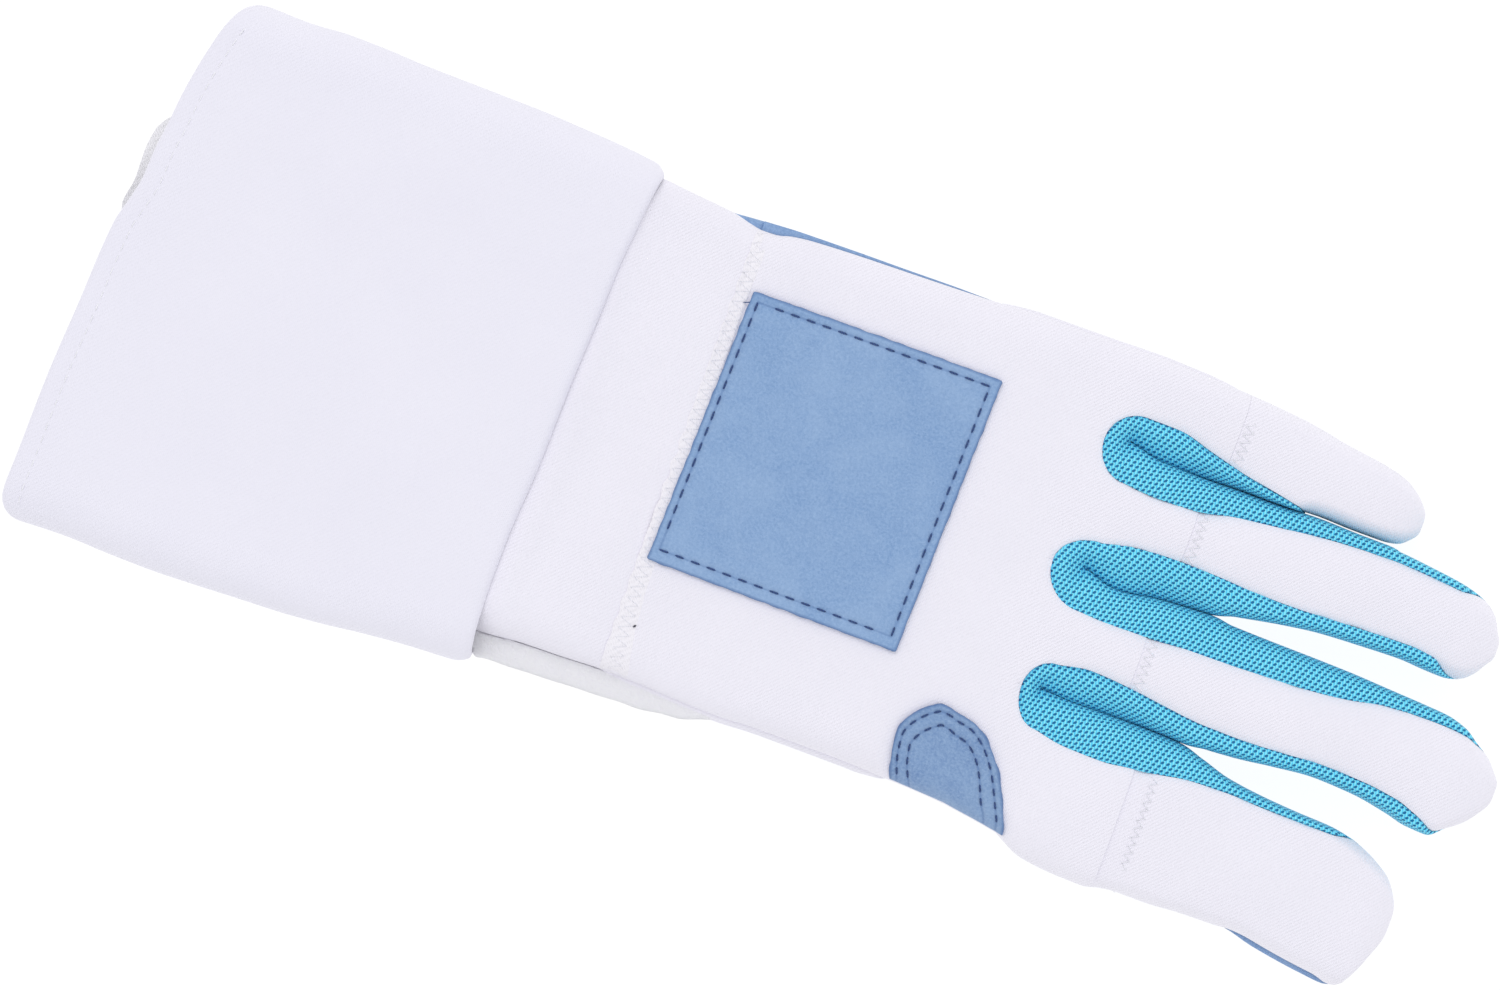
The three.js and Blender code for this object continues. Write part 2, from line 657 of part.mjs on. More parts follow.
function buildBack() {
  const wall = new Wall();
  FINGERS.forEach((finger, index) => {
    const stations = [
      ...HAND_STATIONS,
      ...BEND_STATIONS,
      ...fingerStations(index, CROTCH_X, finger.jointX).slice(1),
    ];
    wall.grid(stations.map((station) => bandRow(wall, index, station, 1, BACK_WALL, 0)));
  });
  return wall.solid();
}

function buildFingerBack(index) {
  const finger = FINGERS[index];
  const wall = new Wall();
  const stations = fingerStations(index, finger.jointX + SEAM_GAP, finger.tipX);
  const rows = stations.map((station) => {
    const sink = FINGER_STEP * Math.max(0, 1 - (station.x - finger.jointX) / FINGER_STEP_LENGTH);
    return bandRow(wall, index, station, 1, FINGER_WALL, sink);
  });
  wall.grid(rows);
  return wall.solid();
}

function buildPalm() {
  const wall = new Wall();
  FINGERS.forEach((finger, index) => {
    const stations = [
      ...HAND_STATIONS,
      ...BEND_STATIONS,
      ...fingerStations(index, CROTCH_X, finger.tipX).slice(1),
    ];
    wall.grid(stations.map((station) => bandRow(wall, index, station, -1, PALM_WALL, 0)));
  });
  return wall.solid();
}

// Mesh inset: a half round strip that follows the U between two fingers.
const MESH_ANGLES = [90, 54, 18, -18, -54, -90];

function buildMesh(notchIndex) {
  const notch = NOTCHES[notchIndex];
  const wall = new Wall();
  const lowSlit = meshEdge(notchIndex, 1, CROTCH_X);
  const highSlit = meshEdge(notchIndex + 1, -1, CROTCH_X);
  const arm = (index, side) => {
    const end = meshEnd(index, side);
    const finger = FINGERS[index];
    const places = finger.rows
      .map((row) => placeOf(finger, row))
      .filter((x) => x > CROTCH_X + 1 && x < end - 1);
    return [...places, end].map((x) => ({
      seam: [x, seamOf(index, side, x) + side * SEAM_GAP],
      edge: [x, meshEdge(index, side, x)],
    }));
  };
  const bend = [-90, -65, -40, -20, 0, 20, 40, 65, 90].map((degrees) => {
    const c = Math.cos(radians(degrees));
    const s = Math.sin(radians(degrees));
    const seam = s > 0 ? seamOf(notchIndex + 1, -1, CROTCH_X) : seamOf(notchIndex, 1, CROTCH_X);
    const seamY = mix(apexY(notchIndex), seam, Math.abs(s)) - s * SEAM_GAP;
    return {
      seam: [CROTCH_X - (notch.reach - SEAM_GAP) * c, seamY],
      edge: [CROTCH_X - SLIT_HALF * c, mix(lowSlit, highSlit, (s + 1) / 2)],
    };
  });
  const sections = [...arm(notchIndex, 1).reverse(), ...bend, ...arm(notchIndex + 1, -1)];
  const rows = sections.map(({ seam, edge }) => {
    const reach = Math.hypot(edge[0] - seam[0], edge[1] - seam[1]);
    const thick = Math.min(MESH_WALL, reach * 0.5);
    const top = over(seam[0]) - SEAM_DROP - MESH_STEP;
    const bottom = under(seam[0]) + SEAM_DROP;
    const centre = (top + bottom) / 2;
    const tall = (top - bottom) / 2;
    return MESH_ANGLES.map((degrees) => {
      const c = Math.cos(radians(degrees));
      const s = Math.sin(radians(degrees));
      const cIn = (c * (reach - thick)) / reach;
      return wall.node(
        [mix(seam[0], edge[0], c), mix(seam[1], edge[1], c), centre + tall * s],
        [mix(seam[0], edge[0], cIn), mix(seam[1], edge[1], cIn), centre + (tall - thick) * s],
      );
    });
  });
  wall.grid(rows);
  return wall.solid();
}

// Square patch on the back of the hand
function buildBackPatch() {
  const wall = new Wall();
  const shares = [0, 0.04, 0.22, 0.39, 0.43, 0.7, 0.96, 1];
  const rows = shares.map((u) => shares.map((v) => {
    const trim = (u === 0 || u === 1) && (v === 0 || v === 1) ? 1 : 0;
    const x = PATCH_CENTRE_X + PATCH_LENGTH * (u - 0.5) + PATCH_SKEW * (v - 0.5);
    const y = PATCH_CENTRE_Y + PATCH_WIDTH * (v - 0.5);
    const inX = x - trim * Math.sign(u - 0.5);
    const inY = y - trim * Math.sign(v - 0.5);
    const base = over(inX) + PATCH_SEAT;
    const edge = u === 0 || u === 1 || v === 0 || v === 1 ? PATCH_EDGE_DROP : 0;
    return wall.node([inX, inY, base + PATCH_THICK - edge], [inX, inY, base]);
  }));
  wall.grid(rows);
  return wall.solid();
}

// Half oval patch on the thumb side
function buildThumbPatch() {
  const wall = new Wall();
  const rows = [0, 0.06, 0.2, 0.4, 0.6, 0.8, 0.94, 1].map((u) => {
    const x = THUMB_PATCH_START_X + THUMB_PATCH_LENGTH * u;
    const low = handLow(x) + HAND_SIDE_ROUND;
    const tall = over(x) - middle(x) - SEAM_GAP / 2;
    const arch = Math.sqrt(Math.max(0, 1 - Math.abs(2 * u - 1) ** 2.6));
    const rise = Math.max(1.5, THUMB_PATCH_RISE * arch - HAND_SIDE_ROUND);
    const nodes = [30, 60, 90].map((degrees) => {
      const c = Math.cos(radians(degrees));
      const s = Math.sin(radians(degrees));
      const at = (grow) => [
        x,
        low - (HAND_SIDE_ROUND + grow) * c,
        over(x) - tall + (tall + grow) * s,
      ];
      return wall.node(at(PATCH_SEAT + PATCH_THICK), at(PATCH_SEAT));
    });
    for (const v of [0.5, 1]) {
      const y = low + rise * v;
      const base = over(x) + PATCH_SEAT;
      nodes.push(wall.node([x, y, base + PATCH_THICK], [x, y, base]));
    }
    return nodes;
  });
  wall.grid(rows);
  return wall.solid();
}

// Thumb bag: an egg shaped outline with rounded edges, hollow, open upwards into the palm
function thumbOutline(inset) {
  const points = [];
  for (let step = 0; step < 14; step += 1) {
    const degrees = -90 + (step * 360) / 14;
    const a = radians(degrees);
    const tip = Math.cos(a) > 0;
    const round = (tip ? THUMB_TIP_ROUND : THUMB_BASE_ROUND) - inset;
    points.push([(tip ? THUMB_REACH : 0) + round * Math.cos(a), round * Math.sin(a)]);
  }
  return points;
}

function placeThumb([along, across]) {
  const c = Math.cos(radians(THUMB_TURN));
  const s = Math.sin(radians(THUMB_TURN));
  return [THUMB_BASE_X + along * c - across * s, THUMB_BASE_Y + along * s + across * c];
}

function layered(layers) {
  const points = [];
  const triangles = [];
  const count = layers[0].outline.length;
  for (const { outline, z } of layers) {
    for (const spot of outline) points.push([...spot, z]);
  }
  for (let k = 0; k + 1 < layers.length; k += 1) {
    for (let i = 0; i < count; i += 1) {
      const a = k * count + i;
      const b = k * count + ((i + 1) % count);
      triangles.push([a, b, b + count], [a, b + count, a + count]);
    }
  }
  const lastStart = (layers.length - 1) * count;
  for (let i = 1; i + 1 < count; i += 1) {
    triangles.push([0, i + 1, i], [lastStart, lastStart + i, lastStart + i + 1]);
  }
  return geometryOf(points, triangles);
}

function thumbBody(inset, floor, roof) {
  const outline = (extra) => thumbOutline(inset + extra).map(placeThumb);
  return layered([
    { outline: outline(THUMB_SOFT), z: floor },
    { outline: outline(0), z: floor + THUMB_SOFT },
    { outline: outline(0), z: roof - THUMB_SOFT },
    { outline: outline(THUMB_SOFT), z: roof },
  ]);
}

function thumbHole() {
  const outline = [];
  for (let step = 0; step < 16; step += 1) {
    const a = (step * Math.PI) / 8;
    outline.push(placeThumb([THUMB_HOLE_LONG * Math.cos(a), THUMB_HOLE_SHORT * Math.sin(a)]));
  }
  const start = THUMB_HEIGHT / 2;
  return layered([{ outline, z: start }, { outline, z: PALM_FLOOR + 2 * PALM_WALL }]);
}

function manifoldOf(geometry) {
  return new wasm.Manifold(new wasm.Mesh({
    numProp: 3,
    vertProperties: new Float32Array(geometry.getAttribute("position").array),
    triVerts: new Uint32Array(geometry.getIndex().array),
  }));
}

function geometryFrom(solid) {
  const mesh = solid.getMesh();
  const geometry = new THREE.BufferGeometry();
  geometry.setAttribute("position", new THREE.BufferAttribute(mesh.vertProperties, 3));
  geometry.setIndex([...mesh.triVerts]);
  return geometry;
}

const hole = manifoldOf(thumbHole());
const palm = geometryFrom(manifoldOf(buildPalm()).subtract(hole));
const thumb = geometryFrom(
  manifoldOf(thumbBody(0, 0, THUMB_HEIGHT))
    .subtract(manifoldOf(thumbBody(THUMB_WALL, THUMB_WALL, THUMB_HEIGHT - THUMB_WALL)))
    .subtract(hole),
);

// Materials
const WHITE = { color: 0xe8e6f0, roughness: 0.85 };
const OFF_WHITE = { color: 0xd9d6da, roughness: 0.95 };
const TURQUOISE = { color: 0x45b2d4, roughness: 0.7 };
const SUEDE = { color: 0x83a7d6, roughness: 0.95 };

const glove = new THREE.Group();
glove.name = "fencing_glove";

function addPiece(name, geometry, look) {
  const mesh = new THREE.Mesh(
    geometry,
    new THREE.MeshStandardMaterial({ ...look, metalness: 0 }),
  );
  mesh.name = name;
  glove.add(mesh);
}

addPiece("cuff", cuff, WHITE);
addPiece("cuff_lining", cuffLining, OFF_WHITE);
addPiece("wrist_panel", wristPanel, WHITE);
addPiece("wrist_loop_strip", stripRows(), OFF_WHITE);
addPiece("hand_back", buildBack(), WHITE);
FINGERS.forEach((finger, index) => {
  addPiece(`${finger.name}_back`, buildFingerBack(index), WHITE);
});
NOTCHES.forEach((notch, index) => {
  addPiece(`gusset_${FINGERS[index].name}_${FINGERS[index + 1].name}`, buildMesh(index), TURQUOISE);
});
addPiece("palm", palm, SUEDE);
addPiece("thumb", thumb, SUEDE);
addPiece("back_patch", buildBackPatch(), SUEDE);
addPiece("thumb_patch", buildThumbPatch(), SUEDE);

// The origin is the middle of the bottom of the bounding box.
const box = new THREE.Box3().setFromObject(glove);
const centre = box.getCenter(new THREE.Vector3());
for (const mesh of glove.children) {
  mesh.geometry.translate(-centre.x, -centre.y, -box.min.z);
}

export default glove;
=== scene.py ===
import math

import bpy
import numpy as np
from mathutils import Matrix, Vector
from mathutils.kdtree import KDTree


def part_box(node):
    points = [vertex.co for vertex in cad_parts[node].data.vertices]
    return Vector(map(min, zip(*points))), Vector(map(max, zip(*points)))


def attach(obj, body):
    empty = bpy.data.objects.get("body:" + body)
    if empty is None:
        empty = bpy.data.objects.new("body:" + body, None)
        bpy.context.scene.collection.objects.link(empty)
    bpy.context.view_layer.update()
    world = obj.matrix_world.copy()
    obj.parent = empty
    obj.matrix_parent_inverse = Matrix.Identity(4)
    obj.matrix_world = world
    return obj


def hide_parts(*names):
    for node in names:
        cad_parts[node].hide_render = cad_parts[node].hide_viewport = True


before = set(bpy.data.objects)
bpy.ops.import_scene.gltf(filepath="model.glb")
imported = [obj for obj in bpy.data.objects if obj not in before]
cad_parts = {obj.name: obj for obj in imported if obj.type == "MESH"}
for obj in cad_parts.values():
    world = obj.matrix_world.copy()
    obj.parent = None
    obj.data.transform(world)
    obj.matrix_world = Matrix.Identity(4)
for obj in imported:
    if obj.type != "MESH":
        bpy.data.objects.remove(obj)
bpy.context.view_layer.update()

# Lengths are in millimetres until a piece is made. X runs to the fingertips, Y to the little
# finger, Z up. The drawing's own origin lies a little off the frame's, as the square patch shows.
PATCH_CENTRE = (13.9, 11.9)
MM = 0.001
patch_low, patch_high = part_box("back_patch")
SHIFT_X = PATCH_CENTRE[0] - (patch_low[0] + patch_high[0]) / 2 / MM
SHIFT_Y = PATCH_CENTRE[1] - (patch_low[1] + patch_high[1]) / 2 / MM

# Stations along the glove
WRIST_START_X = -64.0
WRIST_END_X = -20.0
CROTCH_X = 82.0

# Cuff
CUFF_HEIGHT = 20.0
CUFF_WALL = 2.6
CUFF_SIDE = 10.0

# Walls and rounded sides
BACK_WALL = 3.0
FINGER_WALL = 2.4
PALM_WALL = 1.7
MESH_WALL = 1.5
HAND_SIDE = 8.0
FINGER_SIDE = 3.6
TIP_ROUND = 13.0
TURN_WIDTH = 2.0
TURN_DROP = 0.8
PUFF = 1.9
HALF_GAP = 0.12
WRIST_TURN = (1.6, 0.8)
SLIT_HALF = -0.03
SEAM_CREASE = 0.03
MESH_STEP = 0.6
SLIT_START = CROTCH_X - 1.5

# Knit of the mesh
MESH_PITCH_ALONG = 1.42
MESH_PITCH_ACROSS = 1.02
MESH_SLANT = -0.34

# Square patch, its corners anticlockwise from the wrist and thumb side
PATCH_CORNERS = [(-18.8, -22.5), (44.5, -23.0), (46.4, 46.3), (-16.7, 46.5)]
PATCH_THICK = 1.1
PATCH_STITCH_INSET = (2.0, 3.2, 2.4, 2.3)

# Underside and top of the hand by place along X
HEIGHT_X = [-64, -50, -20, 8, 40, 72, 87, 100, 115, 140, 192]
UNDER_Z = [3.1, 3.1, 3.2, 8.8, 8.8, 8.8, 8.7, 5.7, 2.7, 0.3, 0.3]
OVER_Z = [15.4, 15.6, 16.9, 20.9, 22.8, 21.6, 20.6, 19.2, 17.8, 16.2, 15.0]

# Sides of the wrist and of the hand by place along X
LOW_X = [-64, -50, -40, -30, -20, -10, 0, 10, 20, 40, 52, 65, 75, 82]
LOW_Y = [-52.8, -52.8, -52.0, -51.8, -51.4, -51.6, -52.0, -52.2, -51.8, -51.9, -52.4, -53.1, -54.4, -55.6]
HIGH_X = [-64, -50, -46, -40, -30, -27, -23, -19.5, -16, -13, -8, 0, 20, 36, 50, 65, 76, 82]
HIGH_Y = [63.6, 63.6, 64.8, 64.2, 63.2, 62.8, 61.8, 61.2, 61.3, 62.1, 62.7, 63.0, 63.4, 63.8, 64.5, 64.6,
          64.8, 64.9]

# Each finger: its joint seam on its low and high side, its tip, how much lower its own back starts,
# and rows of x, low edge, low seam, high seam, high edge.
# An edge without a seam is shared by the back and the palm.
FINGERS = [
    {
        "name": "index", "joint": (108.0, 108.0), "tip": 179.6, "step": 0.9,
        "rows": [
            (82, -55.6, None, -29.0, -20.4), (90, -59.3, None, -30.5, -20.3),
            (100, -60.5, None, -30.8, -20.2), (106.5, -60.7, None, -30.1, -20.1),
            (110, -59.9, None, -29.8, -20.2), (114, -59.4, None, -29.2, -20.4),
            (122, -59.5, None, -28.0, -21.8), (131, -59.0, None, -27.8, -24.4),
            (141, -58.9, None, -28.3, -25.8), (150, -60.9, None, -28.5, -26.5),
            (158, -62.3, None, -28.6, -26.9), (164, -63.1, None, -28.9, -28.0),
            (169, -63.6, None, -30.9, -29.9), (172.5, -62.4, None, None, -31.8),
            (175, -58.8, None, None, -33.5), (177.9, -52.2, None, None, -37.2),
            (179.6, -46.2, None, None, -42.2),
        ],
    },
    {
        "name": "middle", "joint": (98.6, 101.2), "tip": 192.6, "step": 0.5,
        "rows": [
            (82, -19.9, -12.6, 1.0, 8.9), (90, -19.7, -11.3, 0.6, 8.7),
            (100, -19.7, -12.0, 0.7, 10.2), (110, -19.8, -13.3, 1.2, 10.8),
            (120, -19.9, -14.4, 1.3, 10.4), (130, -19.4, -14.6, 1.6, 10.1),
            (140, -18.2, -14.2, 2.0, 9.9), (150, -17.3, -13.6, 3.0, 9.6),
            (160, -17.8, -14.0, 4.8, 9.0), (170, -19.5, -15.3, 5.2, 8.4),
            (175, -20.7, -17.0, 5.1, 8.0), (180, -21.0, -18.8, 4.6, 6.6),
            (184, -18.2, -16.9, 2.6, 4.2), (188, -15.0, -14.0, 0.6, 1.8),
            (191.0, -11.2, None, None, -1.4), (192.6, -7.4, None, None, -4.2),
        ],
    },
    {
        "name": "ring", "joint": (99.6, 103.0), "tip": 181.4, "step": 0.45,
        "rows": [
            (82, 9.6, 18.2, 33.4, 41.7), (90, 9.2, 19.9, 32.7, 41.2),
            (100, 10.4, 20.5, 33.0, 41.1), (110, 11.1, 20.3, 34.9, 41.4),
            (120, 12.8, 19.7, 36.1, 41.3), (130, 14.6, 19.5, 37.3, 41.5),
            (140, 15.9, 19.9, 38.0, 41.2), (150, 16.4, 20.3, 38.2, 41.0),
            (160, 16.7, 20.5, 37.6, 40.0), (166, 16.3, 19.9, 37.0, 39.2),
            (171, 16.1, 18.4, 36.4, 38.2), (175, 17.0, 18.6, 35.2, 36.8),
            (178.2, 19.6, 20.6, 33.2, 34.2), (180.1, 22.6, None, None, 30.8),
            (181.4, 25.0, None, None, 28.0),
        ],
    },
    {
        "name": "little", "joint": (102.4, 105.6), "tip": 154.2, "step": 0.3,
        "rows": [
            (82, 42.3, 50.0, None, 64.9), (90, 41.7, 49.9, None, 64.6),
            (100, 41.3, 47.5, None, 64.3), (110, 41.6, 45.1, None, 63.7),
            (117, 41.7, 43.9, None, 63.1), (123, 41.9, 42.7, None, 62.3),
            (130, 42.3, None, None, 61.0), (140, 42.0, None, None, 59.6),
            (146, 42.0, None, None, 58.2), (150, 42.6, None, None, 56.0),
            (152.8, 44.8, None, None, 53.4), (154.2, 47.4, None, None, 50.4),
        ],
    },
]

# Mesh insets between the fingers: apex of each U, where its two arms end, over what length they
# narrow there, and how far its slit starts off its line
NOTCHES = [
    {"apex": (75.5, -20.0), "ends": (166.5, 186.0), "fade": (9.0, 9.0), "hook": 0.9},
    {"apex": (72.3, 10.5), "ends": (188.0, 175.5), "fade": (9.0, 9.0), "hook": 2.4},
    {"apex": (74.0, 42.0), "ends": (175.5, 127.0), "fade": (9.0, 4.0), "hook": 1.6},
]


def curve(xs, ys):
    """A smooth curve through rows of a table that adds no bumps between them."""
    xs = np.asarray(xs, float)
    ys = np.asarray(ys, float)
    step = np.diff(xs)
    slope = np.diff(ys) / step
    tangent = np.zeros(len(xs))
    tangent[0], tangent[-1] = slope[0], slope[-1]
    inner = slope[:-1] * slope[1:] > 0
    pair = np.where(slope[:-1] + slope[1:] == 0, 1.0, slope[:-1] + slope[1:])
    tangent[1:-1] = np.where(inner, 2 * slope[:-1] * slope[1:] / pair, 0.0)

    def at(x):
        x = np.clip(np.asarray(x, float), xs[0], xs[-1])
        i = np.clip(np.searchsorted(xs, x, side="right") - 1, 0, len(xs) - 2)
        h = step[i]
        t = (x - xs[i]) / h
        rise = ys[i + 1] - ys[i]
        a = h * tangent[i] - rise
        b = rise - h * tangent[i + 1]
        return (1 - t) * ys[i] + t * ys[i + 1] + t * (1 - t) * (a * (1 - t) + b * t)

    return at


def smoothstep(low, high, x):
    t = np.clip((np.asarray(x, float) - low) / (high - low), 0.0, 1.0)
    return t * t * (3 - 2 * t)


def rounded(share):
    """Height of a quarter circle, 0 to 1, at a share of its width."""
    return np.sqrt(1 - (1 - np.clip(share, 0.0, 1.0)) ** 2)


def turn_down(distance, width, drop):
    """How far a rounded edge has dropped at a distance from the edge."""
    return drop * (1 - rounded(distance / width))


under = curve(HEIGHT_X, UNDER_Z)
over = curve(HEIGHT_X, OVER_Z)
hand_low = curve(LOW_X, LOW_Y)
hand_high = curve(HIGH_X, HIGH_Y)


def middle(x):
    return (under(x) + over(x)) / 2


def stretched(x, tip):
    """Opens out the last stretch before a round tip, so that a table can follow it."""
    start = tip - TIP_ROUND
    t = np.clip((np.asarray(x, float) - start) / TIP_ROUND, 0.0, 1.0)
    return np.minimum(x, start) + TIP_ROUND * np.arcsin(t)


for finger in FINGERS:
    for key, column in (("low_edge", 1), ("low_seam", 2), ("high_seam", 3), ("high_edge", 4)):
        rows = [row for row in finger["rows"] if row[column] is not None]
        if rows:
            places = stretched(np.array([row[0] for row in rows], float), finger["tip"])
            line = curve(places, [row[column] for row in rows])
            finger[key] = lambda x, line=line, tip=finger["tip"]: line(stretched(x, tip))


def line_of(index, side, kind):
    """A finger's edge or seam, on its high (1) or its low (-1) side."""
    return FINGERS[index][("high_" if side > 0 else "low_") + kind]


def joint_of(index):
    return sum(FINGERS[index]["joint"]) / 2


def slit(notch, x):
    """The line between two neighbour fingers, and half the gap that is open there."""
    low, high = line_of(notch, 1, "edge")(x), line_of(notch + 1, -1, "edge")(x)
    hook = NOTCHES[notch]["hook"] * (1 - smoothstep(CROTCH_X - 4, CROTCH_X + 7, x))
    gap = high - low
    opened = smoothstep(0.6, 2.2, gap)
    return (low + high) / 2 + hook, SLIT_HALF + (gap / 2 - SLIT_HALF) * opened


def mesh_edge(index, side, x):
    """The far side of a finger's mesh, which meets the next finger until the gap opens."""
    centre, half = slit(index if side > 0 else index - 1, x)
    past = np.asarray(x) > FINGERS[index + side]["tip"] - 1.0
    return np.where(past, line_of(index, side, "edge")(x), centre - side * half)


def white_side(index, side, x):
    """Side of a finger's white back at x, and how far it has turned from a seam (0) to an edge (1)."""
    x = np.asarray(x, float)
    edge = line_of(index, side, "edge")(x)
    notch = index if side > 0 else index - 1
    if not 0 <= notch < len(NOTCHES):
        return edge, np.ones(x.shape)
    arm = 0 if side > 0 else 1
    end, fade = NOTCHES[notch]["ends"][arm], NOTCHES[notch]["fade"][arm]
    seam = line_of(index, side, "seam")(x)
    turned = smoothstep(end - fade, end, x)
    return seam + (edge - seam) * turned, turned


def seam_path(notch):
    """The U of the seam round one mesh inset, and the U of its far edge, along both arms."""
    apex_x, apex_y = NOTCHES[notch]["apex"]
    low_end, high_end = NOTCHES[notch]["ends"]
    turn = np.radians(np.linspace(-90, 90, 61))
    low_seam = white_side(notch, 1, CROTCH_X)[0]
    high_seam = white_side(notch + 1, -1, CROTCH_X)[0]
    seam = np.where(turn < 0, low_seam, high_seam)
    bend_x = CROTCH_X - (CROTCH_X - apex_x) * np.cos(turn)
    bend_y = apex_y + (seam - apex_y) * np.abs(np.sin(turn))
    edge_x = SLIT_START - SLIT_HALF * np.cos(turn)
    edge_y = slit(notch, SLIT_START)[0] + SLIT_HALF * np.sin(turn)
    low_x = np.arange(low_end - 0.5, CROTCH_X, -MESH_STEP)
    high_x = np.arange(CROTCH_X + MESH_STEP, high_end - 0.4, MESH_STEP)
    seam_points = np.concatenate([
        np.stack([low_x, white_side(notch, 1, low_x)[0]], 1),
        np.stack([bend_x, bend_y], 1)[1:-1],
        np.stack([high_x, white_side(notch + 1, -1, high_x)[0]], 1),
    ])
    edge_points = np.concatenate([
        np.stack([low_x, mesh_edge(notch, 1, low_x)], 1),
        np.stack([edge_x, edge_y], 1)[1:-1],
        np.stack([high_x, mesh_edge(notch + 1, -1, high_x)], 1),
    ])
    return seam_points, edge_points


SEAMS = [seam_path(notch) for notch in range(len(NOTCHES))]
seam_points = np.concatenate([seam for seam, _ in SEAMS])
seam_tree = KDTree(len(seam_points))
for number, point in enumerate(seam_points):
    seam_tree.insert((point[0], point[1], 0.0), number)
seam_tree.balance()


def seam_distance(x, y):
    spots = zip(np.ravel(x).tolist(), np.ravel(y).tolist())
    flat = [seam_tree.find((a, b, 0.0))[2] for a, b in spots]
    return np.array(flat).reshape(np.shape(x))


WAVES = np.random.default_rng(7).uniform(0, 2 * math.pi, (24, 3))


def soft_waves(x, y, length, first, count=6):
    """Smooth unevenness between about -1 and 1, with waves of about the given length."""
    total = np.zeros(np.shape(x))
    for k in range(first, first + count):
        turn, start, share = WAVES[k]
        size = length * (0.7 + 0.6 * share / (2 * math.pi))
        total = total + np.sin((x * math.cos(turn) + y * math.sin(turn)) * 2 * math.pi / size + start)
    return total / math.sqrt(count) / 1.4


def fold(x, y, start, end, width, depth):
    """A soft line pressed into, or raised from, the cloth between two points."""
    ax, ay = start
    bx, by = end
    length = math.hypot(bx - ax, by - ay)
    ux, uy = (bx - ax) / length, (by - ay) / length
    along = (x - ax) * ux + (y - ay) * uy
    across = (x - ax) * -uy + (y - ay) * ux
    ends = smoothstep(-width, width, along) * (1 - smoothstep(length - width, length + width, along))
    return depth * ends * np.exp(-((across / width) ** 2))


# Soft lines in the padded back: start, end, width and depth
BACK_FOLDS = [
    ((48.0, -12.0), (66.0, 6.0), 7.0, -0.5),
    ((52.0, 22.0), (70.0, 26.0), 6.0, -0.4),
    ((-14.0, -46.0), (26.0, -44.0), 4.0, -0.5),
]


def back_roof(x, y):
    """Top of the padded back before its edges turn down."""
    z = over(x) + 0.5 * soft_waves(x, y, 62.0, 0) + 0.16 * soft_waves(x, y, 23.0, 6)
    return z + sum(fold(x, y, *line) for line in BACK_FOLDS)


def finger_puff(index, x, y):
    """The padded crown of one finger between its two sides."""
    finger = FINGERS[index]
    low = finger.get("low_seam", finger["low_edge"])(x)
    high = finger.get("high_seam", finger["high_edge"])(x)
    share = np.clip((y - low) / (high - low), 0.0, 1.0)
    grow = smoothstep(68.0, 104.0, x)
    dip = np.exp(-(((x - finger["joint"][0] - 2.0) / 3.0) ** 2))
    return PUFF * grow * 4 * share * (1 - share) - 0.5 * dip * grow


def side_width(x):
    """Width of the rounded side of the hand, which is narrower along the fingers."""
    return HAND_SIDE + (FINGER_SIDE - HAND_SIDE) * smoothstep(88.0, 112.0, x)


class Wall:
    """A wall between an outer and an inner surface that share one grid, closed along its edges."""

    def __init__(self):
        self.outer, self.inner, self.uv, self.faces, self.known = [], [], [], [], {}

    def node(self, outer, inner, uv):
        key = (round(outer[0], 3), round(outer[1], 3), round(outer[2], 3))
        if key not in self.known:
            self.known[key] = len(self.outer)
            self.outer.append(outer)
            self.inner.append(inner)
            self.uv.append(uv)
        return self.known[key]

    def grid(self, outer, inner, uv=None):
        """Takes arrays of rows by columns by three, and by two for the UV layer."""
        rows, columns = outer.shape[:2]
        flat_uv = [None] * (rows * columns) if uv is None else uv.reshape(-1, 2).tolist()
        spots = zip(outer.reshape(-1, 3).tolist(), inner.reshape(-1, 3).tolist(), flat_uv)
        nodes = np.array([self.node(*spot) for spot in spots]).reshape(rows, columns)
        corners = np.stack([nodes[:-1, :-1], nodes[1:, :-1], nodes[1:, 1:], nodes[:-1, 1:]], -1)
        for face in corners.reshape(-1, 4).tolist():
            face = list(dict.fromkeys(face))
            if len(face) > 2:
                self.faces.append(face)

    def build(self, name, material, smooth_angle=50):
        count = len(self.outer)
        edges = dict.fromkeys(edge for face in self.faces for edge in zip(face, face[1:] + face[:1]))
        rims = [[b, a, a + count, b + count] for a, b in edges if (b, a) not in edges]
        backs = [[spot + count for spot in reversed(face)] for face in self.faces]
        uv = None if self.uv[0] is None else self.uv * 2
        faces = self.faces + backs + rims
        return make_piece(name, self.outer + self.inner, faces, material, smooth_angle, uv)


def make_piece(name, points, faces, material, smooth_angle=50, uv=None):
    """One mesh in the frame's metres, with its faces pointing out."""
    moved = (np.asarray(points, float) - [SHIFT_X, SHIFT_Y, 0.0]) * MM
    mesh = bpy.data.meshes.new(name)
    mesh.from_pydata(moved.tolist(), [], faces)
    mesh.update()
    if uv is not None:
        layer = mesh.uv_layers.new(name="cloth")
        loops = np.zeros(len(mesh.loops), dtype=np.int32)
        mesh.loops.foreach_get("vertex_index", loops)
        layer.uv.foreach_set("vector", np.asarray(uv, float)[loops].ravel())
    volume = sum(polygon.area * polygon.normal.dot(polygon.center) for polygon in mesh.polygons)
    if volume < 0:
        mesh.flip_normals()
    mesh.shade_smooth()
    mesh.set_sharp_from_angle(angle=math.radians(smooth_angle))
    mesh.materials.append(material)
    piece = bpy.data.objects.new(name, mesh)
    bpy.context.scene.collection.objects.link(piece)
    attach(piece, "root")
    return piece


